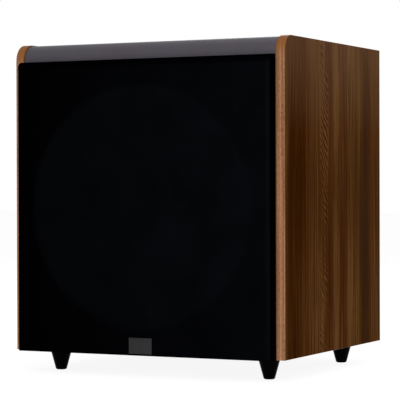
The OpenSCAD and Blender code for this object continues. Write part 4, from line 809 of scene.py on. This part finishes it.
def merged_copy(node, name):
    """A free copy of a CAD node, its triangles joined and its flat ones dissolved."""
    pick(frame["nodes"][node])
    bpy.ops.object.duplicate()
    piece = bpy.context.active_object
    bpy.ops.object.parent_clear(type="CLEAR_KEEP_TRANSFORM")
    piece.name = name
    piece.data.name = name
    for key in [key for key in piece.keys() if key.startswith("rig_")]:
        del piece[key]
    if piece.data.has_custom_normals:
        bpy.ops.mesh.customdata_custom_splitnormals_clear()
    bpy.ops.object.mode_set(mode="EDIT")
    bpy.ops.mesh.select_all(action="SELECT")
    bpy.ops.mesh.remove_doubles(threshold=MERGE_STEP)
    bpy.ops.mesh.dissolve_limited(angle_limit=FLAT_ANGLE)
    bpy.ops.object.mode_set(mode="OBJECT")
    piece.data.materials.clear()
    return piece


def hand_over(piece, finish, body, slot, *nodes):
    """Gives a piece its finish and its body, and lets it stand for CAD nodes; slot is not used."""
    if not piece.data.materials:
        piece.data.materials.append(finish)
    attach(piece, body)
    if nodes:
        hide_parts(*nodes)
    return piece


def dress(node, finish, width=0.0004, segments=2):
    """A softened copy of a CAD node that stands for it."""
    piece = merged_copy(node, node + "_dressed")
    soften(piece, width, segments)
    return hand_over(piece, finish, body_of[node], slot_of[node], node)


def count(pieces):
    """Faces of these pieces, for the printed notes."""
    return sum(len(piece.data.polygons) for piece in pieces)


print("CAD nodes to dress", len(frame["nodes"]))

# %% [markdown]
# ## The walnut box
# Two side panels carry the look: dark foil on the faces and a tan band round the edges. The grey cap lies
# between them and rolls over at the front. The other boards are painted black, and only their rims ever
# show.

# %% Side panels with foil faces and banded edges
PANEL_EDGE = 0.0007
FOIL_FACING = 0.8

side_panels = []
for node in ("side_panel_left", "side_panel_right"):
    panel = merged_copy(node, node + "_dressed")
    soften(panel, PANEL_EDGE, 3)
    panel.data.materials.append(WALNUT)
    panel.data.materials.append(EDGE_BAND)
    for face in panel.data.polygons:
        face.material_index = 0 if abs(face.normal.x) > FOIL_FACING else 1
    side_panels.append(hand_over(panel, WALNUT, body_of[node], slot_of[node], node))
print("side panels", count(side_panels), "faces")

# %% Cap, boards and brace
boards = [dress("top_cap", SATIN_GREY, 0.0006, 3)]
for node in ("bottom_panel", "back_panel", "front_baffle"):
    boards.append(dress(node, BLACK_PAINT, 0.0005))
boards.append(dress("window_brace", RAW_BOARD, 0.0006))
print("boards", count(boards), "faces")

# %% [markdown]
# ## Feet
# Each foot is a turned cone of satin plastic with a screw up its middle. The CAD shape is right, so it
# only needs a soft rim.

# %% Feet and their screws
feet = [dress(node, FOOT_PLASTIC, 0.0006, 3) for node in slot_of if node.startswith("foot_")
        and node != "foot_screws"]
feet.append(dress("foot_screws", SCREW_BLACK, 0.0002))
print("feet", count(feet), "faces")

# %% [markdown]
# ## Wadding
# The pads that line the box are loose fleece. Each one starts as a block the size of its CAD solid. It is
# bevelled and cut into small faces, then lumps are raised on it, and it is flat again where it leans on a
# board.

# %% Lumpy wadding pads
PAD_GAP = 0.0004
PAD_ROUND = 0.006
PAD_LUMP = 0.009
PAD_FACE = 0.014
LUMP_SIZE = 0.06
LUMP_LEVEL = 0.62


def add_block(name, low, high):
    """A cuboid between two corners, with its place in its mesh."""
    low, high = Vector(low), Vector(high)
    bpy.ops.object.select_all(action="DESELECT")
    bpy.ops.mesh.primitive_cube_add(size=1, location=(low + high) / 2)
    block = bpy.context.active_object
    block.scale = high - low
    bpy.ops.object.transform_apply(location=True, rotation=True, scale=True)
    block.name = name
    block.data.name = name
    return block


def corners(obj):
    """Lowest and highest corner of an object's mesh."""
    points = [vertex.co for vertex in obj.data.vertices]
    return (Vector(min(p[i] for p in points) for i in range(3)),
            Vector(max(p[i] for p in points) for i in range(3)))


def loose_boxes(node):
    """The corners of each separate solid in a CAD node."""
    merged_copy(node, node + "_parts")
    bpy.ops.object.mode_set(mode="EDIT")
    bpy.ops.mesh.select_all(action="SELECT")
    bpy.ops.mesh.separate(type="LOOSE")
    bpy.ops.object.mode_set(mode="OBJECT")
    parts = list(bpy.context.selected_objects)
    boxes = sorted((tuple(low), tuple(high)) for low, high in map(corners, parts))
    pick(*parts)
    bpy.ops.object.delete()
    return [(Vector(low), Vector(high)) for low, high in boxes]


lumps = bpy.data.textures.new("fleece_lumps", "CLOUDS")
lumps.noise_scale = LUMP_SIZE
pads = []
for number, (low, high) in enumerate(loose_boxes("wadding_pads"), 1):
    inset = Vector((PAD_GAP,) * 3)
    pad = add_block(f"wadding_pad_{number}", low + inset, high - inset)
    bpy.ops.object.mode_set(mode="EDIT")
    bpy.ops.mesh.bevel(offset=PAD_ROUND, segments=3, affect="EDGES")
    bpy.ops.mesh.select_all(action="SELECT")
    bpy.ops.mesh.subdivide(number_cuts=int(max(high - low) / PAD_FACE / 2))
    bpy.ops.object.mode_set(mode="OBJECT")
    use_modifier(pad, "DISPLACE", texture=lumps, texture_coords="GLOBAL", strength=PAD_LUMP,
                 mid_level=LUMP_LEVEL)
    for vertex in pad.data.vertices:
        vertex.co = [min(max(v, a + PAD_GAP), b - PAD_GAP) for v, a, b in zip(vertex.co, low, high)]
    soften(pad, 0, angle=60)
    pads.append(hand_over(pad, FLEECE, "cabinet", "wadding", "wadding_pads"))
print("wadding pads", len(pads), "faces", count(pads))

# %% [markdown]
# ## Grille cloth
# The cloth is one piece of black knit pulled over a moulded frame and turned in behind it. Its form is
# where two rounded prisms meet: one is rolled over the top edge, the other is rounded down both sides.
# The back is opened, a hem is turned in, and the sheet gets its thickness inwards.

# %% Two prisms for the cloth's form
CLOTH_THICK = 0.0004
TOP_ROLL = 0.012
SIDE_ROUND = 0.004
ROLL_STEPS = 10
ROUND_STEPS = 5
NEAR = 0.001
PLAN_SLACK = 0.02

cloth_low, cloth_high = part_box("grille_cloth")
cloth = add_block("grille_cloth_sheet", cloth_low, cloth_high)
bpy.ops.object.mode_set(mode="EDIT")
choose_edges(cloth, lambda p: p.y < cloth_low.y + NEAR and p.z > cloth_high.z - NEAR)
bpy.ops.mesh.bevel(offset=TOP_ROLL, segments=ROLL_STEPS, affect="EDGES")
choose_edges(cloth, lambda p: p.y < cloth_low.y + NEAR and p.z < cloth_low.z + NEAR)
bpy.ops.mesh.bevel(offset=SIDE_ROUND, segments=ROUND_STEPS, affect="EDGES")
bpy.ops.object.mode_set(mode="OBJECT")

slack = Vector((0, 0, PLAN_SLACK))
plan = add_block("cloth_plan", cloth_low - slack, cloth_high + slack + Vector((0, PLAN_SLACK, 0)))
bpy.ops.object.mode_set(mode="EDIT")
for side in (-1, 1):
    choose_edges(plan, lambda p: p.y < cloth_low.y + NEAR and p.x * side > cloth_high.x - NEAR)
    bpy.ops.mesh.bevel(offset=SIDE_ROUND, segments=ROUND_STEPS, affect="EDGES")
bpy.ops.object.mode_set(mode="OBJECT")
use_modifier(cloth, "BOOLEAN", operation="INTERSECT", object=plan, solver="EXACT")
pick(plan)
bpy.ops.object.delete()
print("cloth form", count([cloth]), "faces")

# %% Hem, thickness and flat size of the cloth
HEM_TURN = 0.0026
HEM_DROP = 0.00045
CLOTH_EDGE = 0.0012
CLOTH_SHARP = math.radians(50)
BACK_FACING = 0.3

use_modifier(cloth, "BEVEL", width=CLOTH_EDGE, segments=3, limit_method="ANGLE",
             angle_limit=CLOTH_SHARP, use_clamp_overlap=False)
bpy.ops.object.mode_set(mode="EDIT")
choose_faces(cloth, lambda c, n: n.y > BACK_FACING and c.y > cloth_high.y - 2 * CLOTH_EDGE)
bpy.ops.mesh.delete(type="FACE")
bpy.ops.mesh.select_mode(type="EDGE")
bpy.ops.mesh.select_all(action="DESELECT")
bpy.ops.mesh.select_non_manifold()
bpy.ops.mesh.extrude_region_move(TRANSFORM_OT_translate={"value": (0, CLOTH_EDGE + HEM_DROP, 0)})
bpy.ops.mesh.extrude_region_move()
cloth_size = cloth_high - cloth_low
shrink = [1 - 2 * HEM_TURN / cloth_size.x, 1, 1 - 2 * HEM_TURN / cloth_size.z]
bpy.ops.transform.resize(value=shrink, center_override=(cloth_low + cloth_high) / 2)
bpy.ops.mesh.select_all(action="SELECT")
bpy.ops.mesh.remove_doubles(threshold=10 * MERGE_STEP)
bpy.ops.mesh.normals_make_consistent(inside=False)
bpy.ops.object.mode_set(mode="OBJECT")
use_modifier(cloth, "SOLIDIFY", thickness=CLOTH_THICK, offset=-1.0)
soften(cloth, 0, angle=40)
hand_over(cloth, GRILLE_KNIT, "grille", "grille_cloth", "grille_cloth")

# %% [markdown]
# ## Grille frame, pegs and the small plate
# The frame and its pegs are moulded plastic. Low down in the middle of the cloth sits a small bare plate
# of dark metal with a shallow sunk face.

# %% Frame, pegs, cups and plate
PLATE_LEFT_X = -0.0178
PLATE_RIGHT_X = 0.0212
PLATE_LOW_Z = 0.0372
PLATE_HIGH_Z = 0.0614
PLATE_PROUD = 0.0012
PLATE_RIM = 0.0009
PLATE_SUNK = 0.00015
PLATE_EDGE = 0.0003

PLATE_METAL = surface_finish("dark_plate_metal", (0.014, 0.014, 0.0152), (0.020, 0.020, 0.0212),
                             (0.35, 0.5), 0.0004, 0.00001, 0.1, 0.0)
grille_pieces = [dress("grille_frame", BLACK_MOULDING, 0.0004), dress("grille_pegs", BLACK_MOULDING, 0.0003),
                 dress("grille_cups", RUBBER, 0.0003)]
plate = add_block("grille_bare_plate", (PLATE_LEFT_X, cloth_low.y - PLATE_PROUD, PLATE_LOW_Z),
                  (PLATE_RIGHT_X, cloth_low.y, PLATE_HIGH_Z))
bpy.ops.object.mode_set(mode="EDIT")
choose_faces(plate, lambda c, n: n.y < -SQUARE_ON)
bpy.ops.mesh.inset(thickness=PLATE_RIM)
bpy.ops.transform.translate(value=(0, PLATE_SUNK, 0))
bpy.ops.object.mode_set(mode="OBJECT")
soften(plate, PLATE_EDGE, 2, 30)
hand_over(plate, PLATE_METAL, "grille", "grille_plastic")
print("grille pieces", count(grille_pieces + [plate]), "faces")

# %% [markdown]
# ## The woofer
# Behind the cloth is a fifteen-inch-class driver. The cone and its dust cap are black pulp. The rubber
# half roll and the corrugated cloth spider stretch as the cone strokes, so each of them follows the
# basket at its rim and the cone at its middle, with a smooth change between.

# %% Basket, gasket, cone and dust cap
woofer = [dress("basket", BASKET_PAINT, 0.0006), dress("woofer_gasket", RUBBER, 0.0009, 3),
          dress("cone", CONE_PULP, 0.0), dress("dust_cap", CONE_PULP, 0.0)]
print("woofer", count(woofer), "faces")

# %% Surround and spider that stretch with the stroke
BLEND_NAME = "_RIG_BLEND"
BLEND_RUN = Vector((0, -0.01, 0))
woofer_low, woofer_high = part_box("cone")
woofer_middle = (woofer_low + woofer_high) / 2


def stretch(node, finish, moving_radius, still_radius):
    """A softened copy of a ring that follows the cone inside and the basket outside."""
    piece = merged_copy(node, node + "_dressed")
    soften(piece, 0)
    piece.data.materials.append(finish)
    end = woofer_middle + BLEND_RUN
    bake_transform(piece, "cabinet", "diaphragm", start=woofer_middle, end=end)
    weights = []
    for vertex in piece.data.vertices:
        radius = math.hypot(vertex.co.x - woofer_middle.x, vertex.co.z - woofer_middle.z)
        share = (still_radius - radius) / (still_radius - moving_radius)
        share = min(max(share, 0.0), 1.0)
        weights.append(share * share * (3 - 2 * share))
    piece.data.attributes[BLEND_NAME].data.foreach_set("value", weights)
    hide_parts(node)
    return piece


ROLL_FOOT = 0.005
SPIDER_NECK = 0.008
cone_radius = (woofer_high.x - woofer_low.x) / 2
roll_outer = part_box("surround")[1].x - ROLL_FOOT
former_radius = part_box("coil_former")[1].x
spider_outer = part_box("spider")[1].x
rings = [stretch("surround", RUBBER, cone_radius, roll_outer),
         stretch("spider", SPIDER_CLOTH, former_radius + SPIDER_NECK, spider_outer - SPIDER_NECK)]
print("rings", count(rings), "faces; roll from", round(cone_radius, 4), "to", round(roll_outer, 4))

# %% [markdown]
# ## Screws
# The CAD screws have plain pan heads. A cross is sunk into each head with a cutter, which is two crossed
# bars copied to every screw.

# %% Cross recesses in the screw heads
CROSS_LONG = 0.0042
CROSS_WIDE = 0.0009
CROSS_DEEP = 0.0012


def crossed_screws(node, outward):
    """Softened screws with a cross sunk into each head; outward is -1 or 1 along Y."""
    piece = merged_copy(node, node + "_dressed")
    cutters = []
    for number, (low, high) in enumerate(loose_boxes(node)):
        head = high.y if outward > 0 else low.y
        middle = Vector(((low.x + high.x) / 2, head, (low.z + high.z) / 2))
        for long_x in (True, False):
            half = Vector((CROSS_LONG, 0, CROSS_WIDE) if long_x else (CROSS_WIDE, 0, CROSS_LONG)) / 2
            half.y = CROSS_DEEP
            cutters.append(add_block(f"{node}_cross_{number}_{int(long_x)}", middle - half, middle + half))
    pick(*cutters)
    bpy.ops.object.join()
    cutter = bpy.context.active_object
    use_modifier(piece, "BOOLEAN", operation="DIFFERENCE", object=cutter, solver="EXACT", use_self=True)
    pick(cutter)
    bpy.ops.object.delete()
    soften(piece, 0, angle=30)
    return hand_over(piece, SCREW_BLACK, body_of[node], slot_of[node], node)


screws = [crossed_screws("woofer_screws", -1), crossed_screws("amp_screws", 1)]
print("screws", count(screws), "faces")

# %% [markdown]
# ## The plate amplifier
# The back carries a powder-coated plate with a finned heat sink, two knobs, a slide switch, a lamp,
# jacks, spring terminals, the mains switch and the inlet with its fuse drawer. Their CAD solids are
# right, so each is softened and given its own finish.

# %% Plate, sink and the fixed parts
rear = [dress("amp_plate", PLATE_COAT, 0.0004), dress("amp_gasket", FOAM, 0.0003),
        dress("heat_sink", SINK_BLACK, 0.0003), dress("phase_switch", BLACK_MOULDING, 0.0002),
        dress("status_led", LAMP_LENS, 0.0002), dress("line_jacks", GOLD_PLATE, 0.0003),
        dress("terminal_block", BLACK_MOULDING, 0.0004), dress("power_switch", BLACK_MOULDING, 0.0003),
        dress("mains_inlet", BLACK_MOULDING, 0.0004), dress("mains_pins", PIN_NICKEL, 0.0002)]
print("rear pieces", count(rear), "faces")

# %% Knobs, slider, rocker, drawer and levers
moving = [dress("level_knob", KNOB_BLACK, 0.0002), dress("crossover_knob", KNOB_BLACK, 0.0002),
          dress("phase_slider", WHITE_PLASTIC, 0.0002), dress("power_rocker", KNOB_BLACK, 0.0004, 3),
          dress("fuse_drawer", BLACK_MOULDING, 0.0003)]
for number in range(1, 5):
    moving.append(dress(f"terminal_lever_{number}", RED_PLASTIC if number % 2 else LEVER_BLACK, 0.0004, 3))
print("moving pieces", count(moving), "faces")

# %% [markdown]
# ## Marks on the plate
# Plain printed marks tell a hand what it turns: a white line in each knob's groove, eleven ticks round
# each knob, and a bar and a ring on the rocker. They could be painted in the material, but thin slips of
# white stay crisp close up. A slip is a block with softened edges, copied round the knob.

# %% White lines in the knobs and ticks round them
LINE_HALF = 0.0006
LINE_START = 0.0043
LINE_END = 0.0112
LINE_THICK = 0.0009
LINE_EDGE = 0.0002
GROOVE_DEPTH = 0.0014
TICK_COUNT = 11
TICK_SWEEP = math.radians(300)
TICK_NEAR = 0.0146
TICK_FAR = 0.0170
TICK_HALF = 0.0003
END_TICK_EXTRA = 0.0006
INK_THICK = 0.00006
INK_EDGE = 0.00002
plate_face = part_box("amp_plate")[1].y
marks = []
for control in ("level", "crossover"):
    knob_low, knob_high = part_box(control + "_knob")
    hub = (knob_low + knob_high) / 2
    floor_y = knob_high.y - GROOVE_DEPTH
    line = add_block(control + "_pointer", Vector((hub.x - LINE_HALF, floor_y, hub.z + LINE_START)),
                     Vector((hub.x + LINE_HALF, floor_y + LINE_THICK, hub.z + LINE_END)))
    soften(line, LINE_EDGE)
    marks.append(hand_over(line, WHITE_INK, control + "_control", "white_plastic"))
    ticks = []
    for number in range(TICK_COUNT):
        near = TICK_NEAR - (END_TICK_EXTRA if number in (0, TICK_COUNT - 1) else 0)
        tick = add_block(f"{control}_tick_{number}",
                         Vector((hub.x - TICK_HALF, plate_face, hub.z + near)),
                         Vector((hub.x + TICK_HALF, plate_face + INK_THICK, hub.z + TICK_FAR)))
        bpy.ops.transform.rotate(value=TICK_SWEEP * (number / (TICK_COUNT - 1) - 0.5), orient_axis="Y",
                                 center_override=hub)
        bpy.ops.object.transform_apply(location=True, rotation=True, scale=True)
        ticks.append(tick)
    pick(*ticks)
    bpy.ops.object.join()
    dial = bpy.context.active_object
    dial.name = control + "_dial_ticks"
    soften(dial, INK_EDGE)
    marks.append(hand_over(dial, WHITE_INK, "cabinet", "white_plastic"))
print("marks", [mark.name for mark in marks])

# %% Bar and ring on the rocker
RING_RADIUS = 0.0019
RING_WIRE = 0.0003
BAR_HALF = Vector((0.00035, 0.0019, 0))
MARK_FLATTEN = 0.3
MARK_EDGE = 0.00004
rocker = frame["nodes"]["power_rocker"]
press_faces = {}
for face in rocker.data.polygons:
    if face.normal.y > SQUARE_ON:
        key = round(face.normal.z, 2)
        press_faces.setdefault(key, []).append(face)
for name, key in (("rocker_ring", max(press_faces)), ("rocker_bar", min(press_faces))):
    area = sum(face.area for face in press_faces[key])
    middle = sum((face.center * face.area for face in press_faces[key]), Vector()) / area
    turn = press_faces[key][0].normal.to_track_quat("Z", "Y").to_euler()
    bpy.ops.object.select_all(action="DESELECT")
    if name == "rocker_ring":
        bpy.ops.mesh.primitive_torus_add(location=middle, rotation=turn, major_radius=RING_RADIUS,
                                         minor_radius=RING_WIRE, major_segments=40, minor_segments=10)
    else:
        bpy.ops.mesh.primitive_cube_add(size=2, location=middle, rotation=turn)
        bpy.context.active_object.scale = (BAR_HALF.x, BAR_HALF.y, RING_WIRE)
    mark = bpy.context.active_object
    mark.name = name
    mark.scale.z *= MARK_FLATTEN
    bpy.ops.object.transform_apply(location=True, rotation=True, scale=True)
    soften(mark, MARK_EDGE)
    marks.append(hand_over(mark, WHITE_INK, "power_rocker", "white_plastic"))
print("rocker faces", {key: len(faces) for key, faces in press_faces.items()})

# %% Insulating rings in the jacks
INSULATOR_RADIUS = 0.0025
INSULATOR_WIRE = 0.0007
INSULATOR_FLATTEN = 0.35
jack_low, jack_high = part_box("line_jacks")
jack_radius = (jack_high.z - jack_low.z) / 2
for jack_x, finish in ((jack_low.x + jack_radius, RED_PLASTIC), (jack_high.x - jack_radius, WHITE_PLASTIC)):
    bpy.ops.object.select_all(action="DESELECT")
    end_face = Vector((jack_x, jack_high.y, jack_low.z + jack_radius))
    bpy.ops.mesh.primitive_torus_add(location=end_face, rotation=(math.pi / 2, 0, 0),
                                     major_radius=INSULATOR_RADIUS, minor_radius=INSULATOR_WIRE,
                                     major_segments=48, minor_segments=12)
    ring = bpy.context.active_object
    ring.name = "jack_insulator_" + ("red" if finish is RED_PLASTIC else "white")
    ring.scale.z = INSULATOR_FLATTEN
    bpy.ops.object.transform_apply(location=True, rotation=True, scale=True)
    soften(ring, 0)
    marks.append(hand_over(ring, finish, "cabinet", "white_plastic"))
print("marks in all", len(marks), "with", count(marks), "faces")

# %% [markdown]
# ## Finishes on the pieces inside
# What never shows in use keeps its CAD mesh and only gets its finish. The two jack collars are the usual
# red and white, so they are coloured by their place.

# %% Inner pieces keep their CAD mesh
inner_finishes = {
    "front_plate": MOTOR_STEEL, "ferrite_magnet": FERRITE, "pole_piece": MOTOR_STEEL,
    "woofer_terminals": PHENOLIC, "coil_former": FORMER_CARD, "voice_coil": COPPER, "amp_board": BOARD_GREEN,
    "filter_capacitors": CAN_SLEEVE, "control_board": BOARD_GREEN, "control_pots": POT_CASE,
    "transformer": WINDING_TAPE, "level_shaft": POT_CASE, "crossover_shaft": POT_CASE, "fuse": FUSE_GLASS}
for node, finish in inner_finishes.items():
    for material_slot in frame["nodes"][node].material_slots:
        material_slot.link = "OBJECT"
        material_slot.material = finish
leads["woofer_lead_red"].data.materials.append(LEAD_RED)
leads["woofer_lead_black"].data.materials.append(LEAD_BLACK)
print("inner pieces", len(inner_finishes) + len(leads))

# %% Red and white jack collars
collars = merged_copy("jack_collars", "jack_collars_dressed")
soften(collars, 0.0003)
collars.data.materials.append(RED_PLASTIC)
collars.data.materials.append(WHITE_PLASTIC)
collar_low, collar_high = corners(collars)
collar_middle = (collar_low.x + collar_high.x) / 2
for face in collars.data.polygons:
    face.material_index = 0 if face.center.x < collar_middle else 1
hand_over(collars, RED_PLASTIC, "cabinet", slot_of["jack_collars"], "jack_collars")
print("collars", count([collars]), "faces")

# %% Print how far the visual box differs from the CAD box
visual_box = [list(corner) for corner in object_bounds()]
growth = [max(abs(a - b) for a, b in zip(one, two)) for one, two in zip(cad_box, visual_box)]
print("visual box differs by", [round(value, 5) for value in growth], "m")
